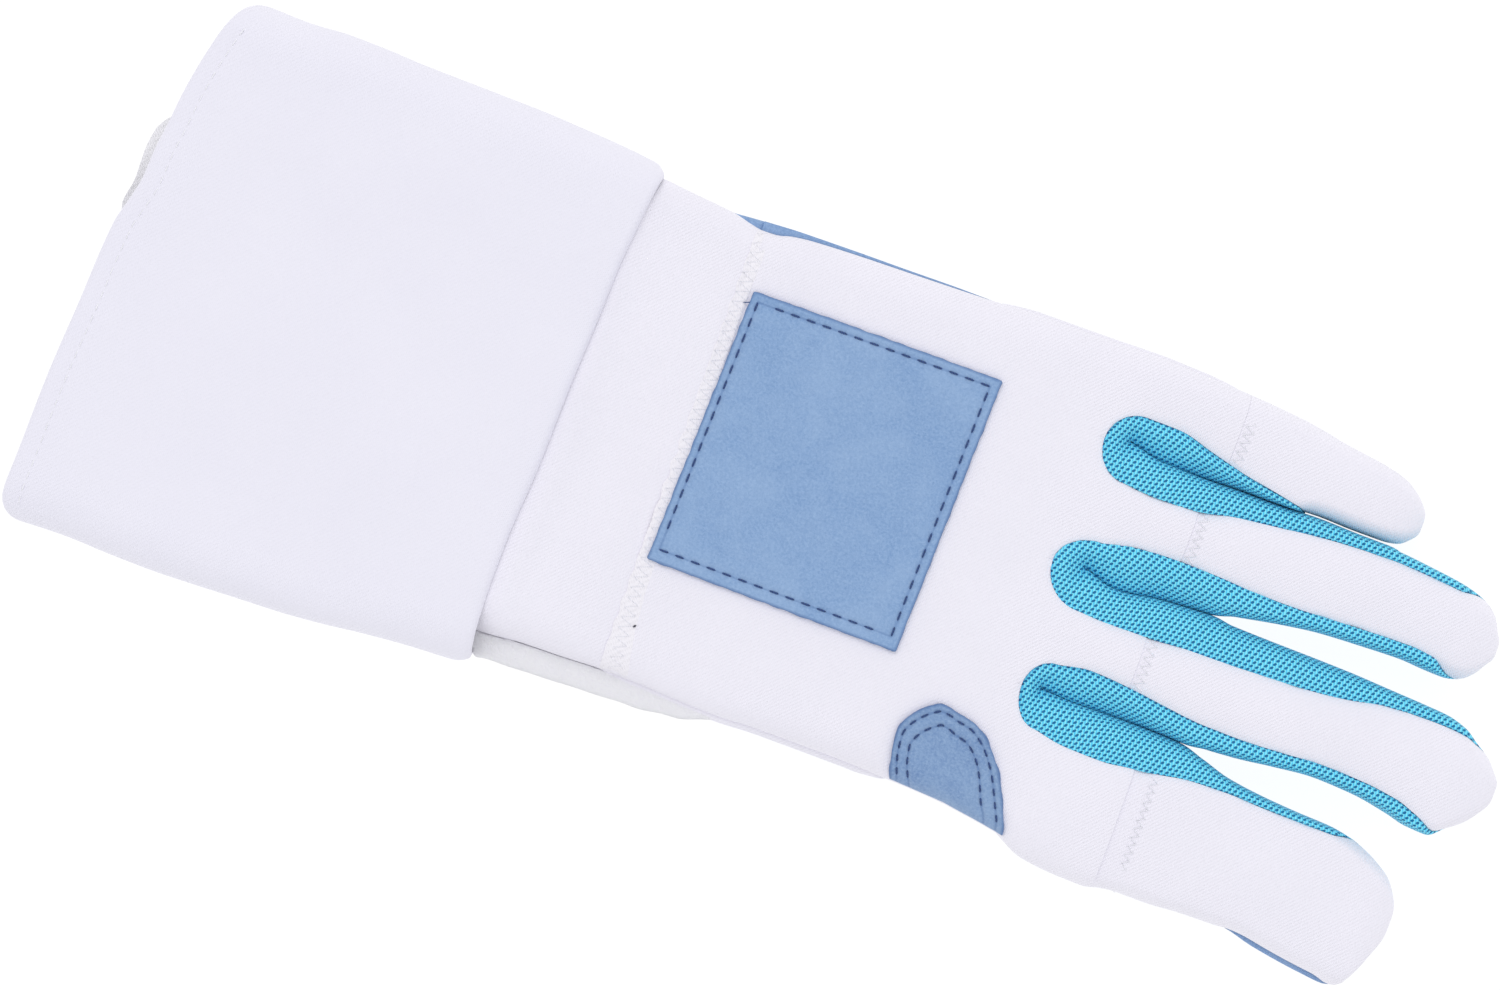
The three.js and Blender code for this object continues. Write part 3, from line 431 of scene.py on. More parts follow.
def ring_faces(rows, count, start=0):
    """Faces of a tube of rings, with a cap at each end."""
    faces = []
    for i in range(rows - 1):
        near, far = start + i * count, start + (i + 1) * count
        for j in range(count):
            k = (j + 1) % count
            faces.append([near + j, near + k, far + k, far + j])
    last = start + (rows - 1) * count
    return faces + [list(range(start, start + count))[::-1], list(range(last, last + count))]


def new_material(name, values):
    """A material with its node tree and its shader, whose uniform values are set on its sockets."""
    material = bpy.data.materials.new(name)
    material.use_nodes = True
    shader = material.node_tree.nodes["Principled BSDF"]
    for key, value in values.items():
        shader.inputs[key].default_value = value
    return material, material.node_tree, shader


def add(tree, kind, inputs=None, **settings):
    """A shader node with its settings, and its inputs set to values or linked to sockets."""
    node = tree.nodes.new(kind)
    for key, value in settings.items():
        setattr(node, key, value)
    for key, value in (inputs or {}).items():
        if isinstance(value, bpy.types.NodeSocket):
            tree.links.new(value, node.inputs[key])
        else:
            node.inputs[key].default_value = value
    return node


def math_node(tree, operation, first, second=0.0):
    return add(tree, "ShaderNodeMath", {0: first, 1: second}, operation=operation).outputs[0]


def mix(tree, share, first, second):
    """Mix of two colours, each a value or a socket."""
    node = add(tree, "ShaderNodeMix", {0: share, 6: first, 7: second}, data_type="RGBA")
    return node.outputs[2]


def remap(tree, value, low, high, to_low=0.0, to_high=1.0, **settings):
    inputs = {"Value": value, "From Min": low, "From Max": high, "To Min": to_low, "To Max": to_high}
    return add(tree, "ShaderNodeMapRange", inputs, **settings).outputs[0]


def place_of(tree):
    return add(tree, "ShaderNodeTexCoord").outputs["Object"]


def split_uv(tree):
    """The two values of the piece's own UV layer."""
    layer = add(tree, "ShaderNodeUVMap", uv_map="cloth").outputs["UV"]
    return add(tree, "ShaderNodeSeparateXYZ", {"Vector": layer}).outputs


def noise(tree, scale, detail, roughness=0.5, distortion=0.0):
    return add(tree, "ShaderNodeTexNoise", {
        "Vector": place_of(tree), "Scale": scale, "Detail": detail, "Roughness": roughness,
        "Distortion": distortion,
    }).outputs["Fac"]


def colour(red, green, blue):
    """Screen colour, 0 to 255, as the linear values that a shader takes."""
    def linear(value):
        v = value / 255
        return v / 12.92 if v <= 0.04045 else ((v + 0.055) / 1.055) ** 2.4

    return (linear(red), linear(green), linear(blue), 1.0)


def dress(tree, shader, base, height, depth, strength=1.0):
    """Gives the shader its colour and its relief, whose depth is in millimetres."""
    tree.links.new(base, shader.inputs["Base Color"])
    relief = add(tree, "ShaderNodeBump", {"Height": height, "Distance": depth * MM, "Strength": strength})
    tree.links.new(relief.outputs["Normal"], shader.inputs["Normal"])


def woven_cloth(name, tone, shade, pitch=0.55, depth=0.05):
    """Fine twill: two crossing sets of threads, with soft cloudy differences in tone."""
    material, tree, shader = new_material(name, {
        "Roughness": 0.86, "Sheen Weight": 0.25, "Sheen Roughness": 0.6, "Specular IOR Level": 0.2,
    })
    x, y, _ = add(tree, "ShaderNodeSeparateXYZ", {"Vector": place_of(tree)}).outputs
    step = 2 * math.pi / (pitch * MM)
    turn, back = math_node(tree, "ADD", x, y), math_node(tree, "SUBTRACT", x, y)
    twill = math_node(tree, "SINE", math_node(tree, "MULTIPLY", turn, step))
    cross = math_node(tree, "SINE", math_node(tree, "MULTIPLY", back, step * 0.5))
    strands = math_node(tree, "MULTIPLY", twill, math_node(tree, "ADD", cross, 1.6))
    fibre = math_node(tree, "MULTIPLY", noise(tree, 1300.0, 5.0), 1.3)
    height = math_node(tree, "ADD", math_node(tree, "MULTIPLY", strands, 0.35), fibre)
    share = math_node(tree, "MULTIPLY", noise(tree, 45.0, 4.0), 0.55)
    dress(tree, shader, mix(tree, share, colour(*tone), colour(*shade)), height, depth, 0.8)
    return material


def brushed_cloth(name, tone, light):
    """Brushed loops: short soft tufts."""
    material, tree, shader = new_material(name, {
        "Roughness": 0.95, "Sheen Weight": 0.5, "Specular IOR Level": 0.1,
    })
    tufts = noise(tree, 900.0, 6.0, roughness=0.75)
    height = math_node(tree, "ADD", tufts, noise(tree, 220.0, 3.0))
    dress(tree, shader, mix(tree, tufts, colour(*tone), colour(*light)), height, 0.6)
    return material


def paint_edge_shade(tree, base):
    """Paints shade on the cut edge and in the pressed line under the stitches, whose distances the UV
    layer holds.
    """
    for value, reach, share in zip(split_uv(tree), (0.8, 0.42), (0.7, 0.4)):
        base = mix(tree, remap(tree, value, 0.1, reach, share, 0.0), base, colour(78, 110, 164))
    return base


def suede(name, tone, dark, light, edge_shade=False):
    """Short nap: speckle of fibre ends over soft brushed patches."""
    material, tree, shader = new_material(name, {
        "Roughness": 0.95, "Sheen Weight": 0.35, "Sheen Roughness": 0.5, "Specular IOR Level": 0.1,
    })
    speckle = noise(tree, 1500.0, 5.0, roughness=0.8)
    nap = noise(tree, 70.0, 5.0, roughness=0.6, distortion=0.6)
    base = mix(tree, remap(tree, speckle, 0.38, 0.66), colour(*dark), colour(*tone))
    base = mix(tree, remap(tree, nap, 0.35, 0.65, 0.0, 0.35), base, colour(*light))
    # Painted shade along the cut edge and in the stitch grooves
    if edge_shade:
        base = paint_edge_shade(tree, base)
    dress(tree, shader, base, math_node(tree, "ADD", speckle, nap), 0.22)
    return material


def mesh_cloth(name, hole_shade, thread, light):
    """Coarse knitted mesh: slanted holes, painted dark as shade, between raised strands with a painted
    highlight, laid out along the piece's own grid.
    """
    material, tree, shader = new_material(name, {
        "Roughness": 0.6, "Sheen Weight": 0.05, "Specular IOR Level": 0.25,
    })
    u, v, _ = split_uv(tree)
    across = math_node(tree, "DIVIDE", v, MESH_PITCH_ACROSS)
    slant = math_node(tree, "MULTIPLY", across, MESH_SLANT)
    along = math_node(tree, "ADD", math_node(tree, "DIVIDE", u, MESH_PITCH_ALONG), slant)
    squares = []
    for value, stretch in ((along, 3.1), (across, 2.2)):
        off = math_node(tree, "SUBTRACT", math_node(tree, "FRACT", value), 0.5)
        off = math_node(tree, "ABSOLUTE", math_node(tree, "MULTIPLY", off, stretch))
        squares.append(math_node(tree, "POWER", off, 2.0))
    reach = math_node(tree, "SQRT", math_node(tree, "ADD", *squares))
    rib = remap(tree, reach, 0.42, 1.0, interpolation_type="SMOOTHSTEP")
    turn = math_node(tree, "ADD", math_node(tree, "MULTIPLY", along, 2.0), across)
    strand = math_node(tree, "SINE", math_node(tree, "MULTIPLY", turn, 2 * math.pi))
    fibre = math_node(tree, "MULTIPLY", noise(tree, 1800.0, 2.0), 2.0)
    # Painted highlight along the strands
    painted_glint = remap(tree, math_node(tree, "ADD", strand, fibre), -0.3, 2.0)
    strands = mix(tree, painted_glint, colour(*thread), colour(*light))
    # Painted shade in the holes
    dress(tree, shader, mix(tree, rib, colour(*hole_shade), strands), rib, 0.4)
    return material


def thread_material(name, tone, dark=0.72):
    """Twisted sewing thread."""
    material, tree, shader = new_material(name, {"Roughness": 0.6})
    inputs = {"Vector": place_of(tree), "Scale": 900.0, "Distortion": 2.0}
    twist = add(tree, "ShaderNodeTexWave", inputs, bands_direction="DIAGONAL").outputs["Fac"]
    shade = [value * dark for value in tone]
    dress(tree, shader, mix(tree, twist, colour(*shade), colour(*tone)), twist, 0.05)
    return material


WHITE = woven_cloth("white_cloth", (246, 243, 252), (236, 234, 244), depth=0.06)
CUFF_WHITE = woven_cloth("cuff_cloth", (240, 238, 248), (233, 231, 243), pitch=0.6, depth=0.04)
LINING = woven_cloth("lining_cloth", (252, 251, 254), (243, 242, 248), pitch=0.9, depth=0.08)
TAPE = woven_cloth("seam_tape", (247, 244, 250), (239, 236, 242), pitch=0.9, depth=0.08)
BRUSHED = brushed_cloth("brushed_cloth", (243, 241, 249), (255, 255, 255))
SUEDE = suede("blue_suede", (152, 182, 221), (124, 157, 203), (164, 191, 226))
# The two patch suedes carry painted shade along their cut edges and stitch grooves
SUEDE_EDGE_SHADED = suede("patch_suede", (154, 184, 222), (126, 159, 204), (166, 193, 227), True)
SUEDE_DARK = suede("thumb_suede", (150, 178, 214), (114, 145, 192), (163, 190, 221), True)
# Mesh colours: painted shade for the holes, the thread's tone, and a painted highlight on the strands
MESH = mesh_cloth("turquoise_mesh", (0, 107, 172), (57, 194, 243), (140, 239, 255))
NAVY = thread_material("navy_thread", (52, 82, 142))
DARK_THREAD = thread_material("dark_thread", (70, 68, 84))
WHITE_THREAD = thread_material("white_thread", (244, 243, 250), 0.93)
HEM_THREAD = thread_material("hem_thread", (250, 249, 254), 0.95)

# Angles of an edge that turns down, from the edge to the flat
ROLL = np.radians(np.linspace(0, 90, 11))
ROLL_SHARE = 1 - np.cos(ROLL)


STATIONS_HAND = np.linspace(0, 1, 76)
STATIONS_BEND = np.array([6, 12, 19, 26, 33, 41, 49, 57, 65, 73, 81, 90.0])
MIDDLE_COLUMNS = np.linspace(0, 1, 14)[1:-1]


def tip_places(start, tip, step=1.3):
    """Places along X that crowd together towards a round tip."""
    straight = np.arange(start, tip - TIP_ROUND, step)
    turn = np.radians(np.linspace(0, 90, 16))
    return np.concatenate([straight, tip - TIP_ROUND + TIP_ROUND * np.sin(turn)])


def band_side(index, side, kind, place):
    """One side of a finger's band at one station: x, y and how far the side turns down (0 to 1)."""
    notch = index if side > 0 else index - 1
    inside = 0 <= notch < 3
    near_x, near_y = NOTCHES[min(2, max(0, notch))]["apex"]
    if kind == "finger":
        y, turned = white_side(index, side, place)
        return place, float(y), float(turned)
    if kind == "hand":
        x = WRIST_END_X + (near_x - WRIST_END_X) * place
        if inside:
            return x, near_y, 0.0
    else:
        turn = math.radians(place)
        x = CROTCH_X - (CROTCH_X - near_x) * math.cos(turn)
        if inside:
            seam = float(white_side(index, side, CROTCH_X)[0])
            return x, near_y + (seam - near_y) * math.sin(turn), 0.0
    edge = hand_high(x) if side > 0 else hand_low(x)
    return x, float(edge), 1.0


def band_grid(index, stations, shift):
    """Plan of a band: x, y, lift and wall inset by station and column. shift moves outer sides."""
    lows = np.array([band_side(index, -1, *station) for station in stations])
    highs = np.array([band_side(index, 1, *station) for station in stations])
    lows[:, 1] += shift(index, -1, lows[:, 0]) * lows[:, 2]
    highs[:, 1] += shift(index, 1, highs[:, 0]) * highs[:, 2]
    span = highs[:, 1] - lows[:, 1]
    parts = []
    for ends, sign in ((lows, 1.0), (highs, -1.0)):
        turned = ends[:, 2]
        width = np.minimum(side_width(ends[:, 0]), span * 0.36) * turned + TURN_WIDTH * (1 - turned)
        width = np.minimum(width, span * 0.36)
        y = ends[:, 1][:, None] + sign * width[:, None] * ROLL_SHARE[None, :]
        lift = 1 - turned[:, None] * (1 - np.sin(ROLL))[None, :]
        inset = sign * turned[:, None] * (1 - ROLL_SHARE)[None, :]
        parts.append((y, lift, inset))
    low_flat, high_flat = parts[0][0][:, -1:], parts[1][0][:, -1:]
    flat_y = low_flat + (high_flat - low_flat) * MIDDLE_COLUMNS[None, :]
    y = np.concatenate([parts[0][0], flat_y, parts[1][0][:, ::-1]], 1)
    ones = np.ones(flat_y.shape)
    lift = np.concatenate([parts[0][1], ones, parts[1][1][:, ::-1]], 1)
    inset = np.concatenate([parts[0][2], ones * 0, parts[1][2][:, ::-1]], 1)
    share = (y - lows[:, 1:2]) / span[:, None]
    x = lows[:, 0:1] + (highs[:, 0:1] - lows[:, 0:1]) * share
    return x, y, lift, inset, span[:, None]


def tip_turn(index, x):
    """How far a station has come round the tip of its finger, 0 to 1."""
    tip = FINGERS[index]["tip"]
    return np.clip((x - (tip - TIP_ROUND)) / TIP_ROUND, 0.0, 1.0)


def back_shift(index, side, x):
    """Where the white back stops short of the suede that shows beside it."""
    if index == 0 and side < 0:
        return 1.5 * smoothstep(139, 150, x) * (1 - smoothstep(166, 173, x))
    return 0.0 * x


PALM_EDGE_X = [-27, -20, -10, 0, 15, 28, 38, 60]
PALM_EDGE_Y = [63.0, 63.5, 63.9, 63.9, 63.9, 64.0, 63.9, 64.8]
palm_edge = curve(PALM_EDGE_X, PALM_EDGE_Y)


def palm_shift(index, side, x):
    """Where the suede of the palm comes out beyond the white back."""
    if index == 3 and side > 0:
        return (palm_edge(x) - hand_high(x)) * (1 - smoothstep(40, 60, x))
    if index == 0 and side < 0:
        return 0.3 + 0.0 * x
    return 0.0 * x


def back_top(index, x, y):
    """Top of the back along one band, with its puffed fingers and turned edges."""
    z = back_roof(x, y) + finger_puff(index, x, y)
    return z - turn_down(seam_distance(x, y), TURN_WIDTH, TURN_DROP)


def back_surface(index, stations, wall, thick, sink):
    """Adds one band of the back to a wall; sink lowers its top by place along X."""
    x, y, lift, inset, span = band_grid(index, stations, back_shift)
    top = back_top(index, x, y) - sink(x)
    middle_z = middle(x) + HALF_GAP
    turn = tip_turn(index, x)
    squeeze = np.sqrt(np.maximum(0.0, 1 - turn * turn))
    z = middle_z + (top - middle_z) * lift * squeeze
    z_in = middle_z + (top - thick - middle_z) * lift * squeeze
    y_in = y + inset * np.minimum(thick, span * 0.3)
    outer = np.stack([x, y, z], -1)
    inner = np.stack([x - thick * turn, y_in, z_in], -1)
    wall.grid(outer, inner)


def wrist_edge_drop(x):
    return turn_down(x - WRIST_END_X, *WRIST_TURN)


def joint_sink(index, x):
    """How much lower a finger's own back lies near its joint."""
    joint = joint_of(index)
    return FINGERS[index]["step"] * (1 - smoothstep(joint + 3.0, joint + 9.0, x))


def build_hand_back():
    wall = Wall()
    for index in range(len(FINGERS)):
        stations = [("hand", place) for place in STATIONS_HAND]
        stations += [("bend", place) for place in STATIONS_BEND]
        stations += [("finger", x) for x in np.linspace(CROTCH_X, joint_of(index), 20)[1:]]
        back_surface(index, stations, wall, BACK_WALL, wrist_edge_drop)
    piece = wall.build("hand_back_panel", WHITE)
    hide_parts("hand_back")


def build_finger_back(index):
    finger = FINGERS[index]
    wall = Wall()
    stations = [("finger", x) for x in tip_places(joint_of(index) + 0.06, finger["tip"])]
    back_surface(index, stations, wall, FINGER_WALL, lambda x: joint_sink(index, x))
    piece = wall.build(finger["name"] + "_finger_back", WHITE)
    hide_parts(finger["name"] + "_back")


def build_palm():
    wall = Wall()
    for index, finger in enumerate(FINGERS):
        stations = [("hand", place) for place in (*STATIONS_HAND[::2], 1.0)]
        stations += [("bend", place) for place in STATIONS_BEND[1::2]]
        stations += [("finger", x) for x in tip_places(CROTCH_X, finger["tip"], 2.0)[1:]]
        x, y, lift, inset, span = band_grid(index, stations, palm_shift)
        bottom = under(x) + turn_down(seam_distance(x, y), 2.0, 0.7)
        bottom = bottom + 0.3 * soft_waves(x, y, 40.0, 12) * smoothstep(-20, 10, x)
        bottom = np.maximum(bottom, 0.05)
        middle_z = middle(x) - HALF_GAP
        turn = tip_turn(index, x)
        squeeze = np.sqrt(np.maximum(0.0, 1 - turn * turn))
        z = middle_z + (bottom - middle_z) * lift * squeeze
        z_in = middle_z + (bottom + PALM_WALL - middle_z) * lift * squeeze
        y_in = y + inset * np.minimum(PALM_WALL, span * 0.3)
        if index == 3:
            y_in = y_in + np.minimum(inset, 0.0) * np.maximum(palm_shift(index, 1, x), 0.0)
        wall.grid(
            np.stack([x, y, z], -1),
            np.stack([x - PALM_WALL * turn, y_in, z_in], -1),
        )
    piece = wall.build("suede_palm", SUEDE)
    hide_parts("palm")


# Section of a mesh inset, from its upper seam round to its lower one
MESH_START = math.radians(122)
MESH_TURN = np.linspace(MESH_START, -MESH_START, 47)
# Below 1 an arm is full and boxy, above 1 it falls away towards its slit
LOW_ARM_FORM = 0.78
HIGH_ARM_FORM = 1.45


def arm_form(x, on_low_arm):
    """The low arm lies over the high one, which falls away to the slit until the gap opens."""
    high = HIGH_ARM_FORM + (LOW_ARM_FORM - HIGH_ARM_FORM) * smoothstep(96, 122, x)
    low = LOW_ARM_FORM + (HIGH_ARM_FORM - LOW_ARM_FORM) * (1 - smoothstep(CROTCH_X - 8, CROTCH_X + 4, x))
    return np.where(on_low_arm, low, high)


def squared(values, form):
    """Flattens a circle's sine or cosine towards a box, by row."""
    return np.sign(values)[None, :] * np.abs(values)[None, :] ** form[:, None]


def build_mesh_inset(notch):
    seam, edge = SEAMS[notch]
    away = edge - seam
    reach = np.maximum(np.hypot(away[:, 0], away[:, 1]), 0.25)
    away = away / reach[:, None]
    seam = seam + away * SEAM_CREASE
    reach = reach - SEAM_CREASE
    x = seam[:, 0]
    on_low_arm = np.arange(len(x)) < int(np.argmin(x))
    form = arm_form(x, on_low_arm)
    cosine, sine = squared(np.cos(MESH_TURN), form), squared(np.sin(MESH_TURN), form)
    half = reach / (1 - cosine[:, 0])
    centre = seam - away * (half * cosine[:, 0])[:, None]
    ends = np.where(on_low_arm, *NOTCHES[notch]["ends"])
    fade = np.where(on_low_arm, *NOTCHES[notch]["fade"])
    stand = np.maximum(1 - smoothstep(0, 1, (x - ends + fade) / fade), 0.04)
    top = over(x) + 0.1 + 0.3 * soft_waves(x, seam[:, 1], 13.0, 10)
    bottom = under(x) + 0.4
    middle_z, tall = (top + bottom) / 2, (top - bottom) / 2 * stand
    thick = np.minimum(MESH_WALL, np.minimum(half, tall) * 0.5)

    def surface(inward):
        across = ((half - inward)[:, None] * cosine)[..., None]
        flat = centre[:, None, :] + away[:, None, :] * across
        z = middle_z[:, None] + (tall - inward)[:, None] * sine
        return np.concatenate([flat, z[..., None]], -1)

    # The knit is unrolled from the far edge, so that it keeps its size over the round section
    steepness = 0.3 + 0.7 * smoothstep(CROTCH_X - 2, CROTCH_X + 22, x)[:, None]
    step = np.hypot(
        half[:, None] * np.diff(cosine, axis=1),
        steepness * tall[:, None] * np.diff(sine, axis=1),
    )
    front = len(MESH_TURN) // 2
    out_up = np.cumsum(step[:, :front][:, ::-1], 1)[:, ::-1]
    out_down = np.cumsum(step[:, front:], 1)
    unrolled = np.concatenate([out_up, np.zeros((len(x), 1)), out_down], 1)
    uv = edge[:, None, :] - away[:, None, :] * unrolled[..., None]
    wall = Wall()
    wall.grid(surface(0 * thick), surface(thick), uv)
    names = FINGERS[notch]["name"] + "_" + FINGERS[notch + 1]["name"]
    piece = wall.build("mesh_inset_" + names, MESH)
    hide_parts("gusset_" + names)


# Cuff outline: long sides by place along the cuff, ends by place across it
CUFF_SIDE_SHARE = [0, 0.02, 0.12, 0.22, 0.31, 0.41, 0.5, 0.6, 0.69, 0.78, 0.88, 0.97, 1]
CUFF_HIGH_Y = [70.4, 71.2, 70.9, 71.5, 71.3, 70.8, 70.6, 70.4, 70.2, 69.7, 69.0, 68.0, 67.3]
CUFF_LOW_Y = [-65.8, -65.7, -65.4, -65.9, -66.1, -65.8, -65.4, -65.0, -64.2, -63.0, -62.0, -61.5, -60.9]
CUFF_MOUTH = (
    [-65.8, -65.0, -63.0, -60.0, -50.0, -30.0, -10.0, 0.0, 10.0, 16.0, 22.0, 30.0, 37.0, 43.0, 50.0, 60.0,
     66.0, 69.5, 71.2],
    [-165.4, -167.0, -168.5, -169.2, -168.9, -168.4, -167.2, -166.8, -166.0, -164.5, -163.2, -162.7,
     -161.8, -161.2, -160.1, -157.9, -156.0, -154.2, -152.2],
)
CUFF_FOLD = (
    [-61.0, -59.5, -57.0, -50.0, -40.0, -30.0, -10.0, 10.0, 30.0, 40.0, 50.0, 60.0, 65.5, 67.0],
    [-51.6, -50.6, -50.9, -51.5, -51.8, -51.7, -50.5, -50.0, -49.1, -48.8, -48.0, -47.0, -46.4, -47.2],
)
cuff_high = curve(CUFF_SIDE_SHARE, CUFF_HIGH_Y)
cuff_low = curve(CUFF_SIDE_SHARE, CUFF_LOW_Y)
cuff_mouth = curve(*CUFF_MOUTH)
cuff_fold = curve(*CUFF_FOLD)
HEM_INSET = 4.7


def flat_loop(low, high, floor, roof, side, wall, side_count=13, flat_count=70):
    """Section of a flattened tube: outer and inner y and z, and how much each point faces up."""
    turn = np.radians(np.linspace(90, -90, side_count))
    flat = np.linspace(0, 1, flat_count + 2)[1:-1]
    loops = []
    for inward in (0.0, wall):
        tall = (roof - floor) / 2 - inward
        centre = (roof + floor) / 2
        right_y = high - side + (side - inward) * np.cos(turn)
        left_y = low + side - (side - inward) * np.cos(turn[::-1])
        y = np.concatenate([
            right_y, high - side + (low + side - high + side) * flat,
            left_y, low + side + (high - side - low - side) * flat,
        ])
        z = np.concatenate([
            centre + tall * np.sin(turn), centre - tall + 0 * flat,
            centre + tall * np.sin(turn[::-1]), centre + tall + 0 * flat,
        ])
        loops.append(np.stack([y, z], 1))
    up = np.concatenate([
        np.clip(np.sin(turn), 0, 1), 0 * flat, np.clip(np.sin(turn[::-1]), 0, 1), 1 + 0 * flat,
    ])
    return loops[0], loops[1], up


def tube_wall(places, section, x_at, thin, raise_top):
    """A flattened tube from sections; thin draws the outer face in towards the inner one."""
    rows_outer, rows_inner = [], []
    for place in places:
        outer, inner, up = section(place)
        outer = inner + (outer - inner) * (1 - thin(place))
        x_outer = x_at(place, outer[:, 0])
        x_inner = x_at(place, inner[:, 0])
        lift = raise_top(place, x_outer, outer[:, 0]) * up
        lift_inner = raise_top(place, x_inner, inner[:, 0]) * up
        rows_outer.append(np.stack([x_outer, outer[:, 0], outer[:, 1] + lift], 1))
        rows_inner.append(np.stack([x_inner, inner[:, 0], inner[:, 1] + lift_inner], 1))
    outer, inner = np.array(rows_outer), np.array(rows_inner)
    wall = Wall()
    wall.grid(
        np.concatenate([outer, outer[:, :1]], 1),
        np.concatenate([inner, inner[:, :1]], 1),
    )
    return wall


def cuff_x(place, y):
    return cuff_mouth(y) + (cuff_fold(y) - cuff_mouth(y)) * place


def cuff_waves(place, x, y):
    """Soft unevenness of the cuff's top, its hem groove, and the thicker fold."""
    from_mouth = x - cuff_mouth(y)
    from_fold = cuff_fold(y) - x
    z = 0.55 * soft_waves(x, y, 70.0, 3) + 0.2 * soft_waves(x, y, 26.0, 9)
    z = z + fold(x, y, (-150.0, 40.0), (-70.0, 48.0), 12.0, 0.5)
    z = z + fold(x, y, (-150.0, -30.0), (-80.0, -46.0), 14.0, -0.6)
    z = z - 0.16 * np.exp(-(((from_mouth - HEM_INSET) / 1.0) ** 2))
    z = z + 0.35 * np.exp(-(((from_fold - 4.0) / 3.5) ** 2))
    return z


def build_cuff():
    length = 118.0
    ends = np.array([0, 0.25, 0.6, 1.1, 1.7, 2.4, 3.2, 4.0, 4.4, 4.8, 5.3, 6.0, 7.0]) / length
    flat = np.linspace(8.5, length - 6.5, 62) / length
    places = np.concatenate([ends, flat, 1 - ends[::-1][1:]])

    def thin(place):
        mouth = turn_down(place * length, 1.2, 0.7)
        folded = turn_down((1 - place) * length, 1.9, 0.8)
        return max(mouth, folded)

    wall = tube_wall(
        places,
        lambda s: flat_loop(
            float(cuff_low(s)), float(cuff_high(s)), 0.0, CUFF_HEIGHT, CUFF_SIDE, CUFF_WALL,
        ),
        cuff_x, thin, cuff_waves,
    )
    piece = wall.build("white_cuff", CUFF_WHITE)
    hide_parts("cuff")


# Lip of the lining that hangs out of the mouth
LIP_Y = [8, 12, 14.5, 17, 20, 24, 29, 34.5, 37.5, 40, 44]
LIP_REACH = [0, 2.2, 4.1, 4.4, 4.3, 4.5, 4.9, 5.1, 4.0, 2.0, 0]
LIP_MIDDLE = 26.0
lining_lip = curve(LIP_Y, LIP_REACH)


def build_lining():
    """Thin lining just inside the mouth; its lower half hangs out in one place."""
    inset = CUFF_WALL + 0.5

    def x_at(place, y):
        return cuff_mouth(y) + 1.2 + 21.0 * place

    wall = tube_wall(
        np.linspace(0, 1, 14),
        lambda s: flat_loop(
            -65.0 + inset, 70.6 - inset, inset, CUFF_HEIGHT - inset, CUFF_SIDE - inset, 0.9,
        ),
        x_at, lambda s: 0.0, lambda s, x, y: 0.3 * soft_waves(x, y, 18.0, 2),
    )
    points = np.array(wall.outer)
    inner = np.array(wall.inner)
    for spots in (points, inner):
        y, z = spots[:, 1], spots[:, 2]
        start = 1 - smoothstep(0, 14, spots[:, 0] - cuff_mouth(y) - 1.2)
        below = z < CUFF_HEIGHT / 2
        spots[:, 0] -= np.where(below, lining_lip(y) * start, 0.0)
        lift = 5.0 * np.exp(-(((y - LIP_MIDDLE) / 11.0) ** 2))
        spots[:, 2] += np.where(below, lift * start, 0.0)
    wall.outer, wall.inner = points.tolist(), inner.tolist()
    piece = wall.build("mouth_lining", LINING)
    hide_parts("cuff_lining")


def wrist_waves(place, x, y):
    z = 0.35 * soft_waves(x, y, 34.0, 5) + 0.12 * soft_waves(x, y, 12.0, 11)
    z = z + fold(x, y, (-44.0, -40.0), (-30.0, 30.0), 5.0, -0.5)
    near_fold = 2.4 * np.exp(-(((x + 51.0) / 5.5) ** 2))
    under_cuff = CUFF_HEIGHT - CUFF_WALL - 0.15 + cuff_waves(1.0, cuff_fold(y) + 0.0 * x, y) - over(x)
    lifted = np.minimum(near_fold, under_cuff - z * smoothstep(-52, -44, x))
    return z * smoothstep(-52, -44, x) + lifted - turn_down(WRIST_END_X - x, *WRIST_TURN)


def build_wrist():
    start, end = WRIST_START_X, WRIST_END_X - 0.15
    places = np.linspace(0, 1, 38)

    def section(s):
        x = start + (end - start) * s
        return flat_loop(
            float(hand_low(x)), float(hand_high(x)), float(under(x)), float(over(x)), HAND_SIDE, 2.0,
            side_count=11, flat_count=60,
        )

    wall = tube_wall(
        places, section, lambda s, y: start + (end - start) * s + 0.0 * y, lambda s: 0.0, wrist_waves,
    )
    piece = wall.build("white_wrist", WHITE)
    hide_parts("wrist_panel")


# Brushed strip beside the thumb side of the wrist
STRIP_X = [-53, -51.5, -49.5, -47.5, -40, -30, -20, -10, 0, 7, 11]
STRIP_Y = [-56.4, -57.6, -59.0, -58.7, -58.5, -58.1, -57.7, -57.3, -56.2, -54.4, -53.0]
STRIP_RISE = 7.6
strip_edge = curve(STRIP_X, STRIP_Y)


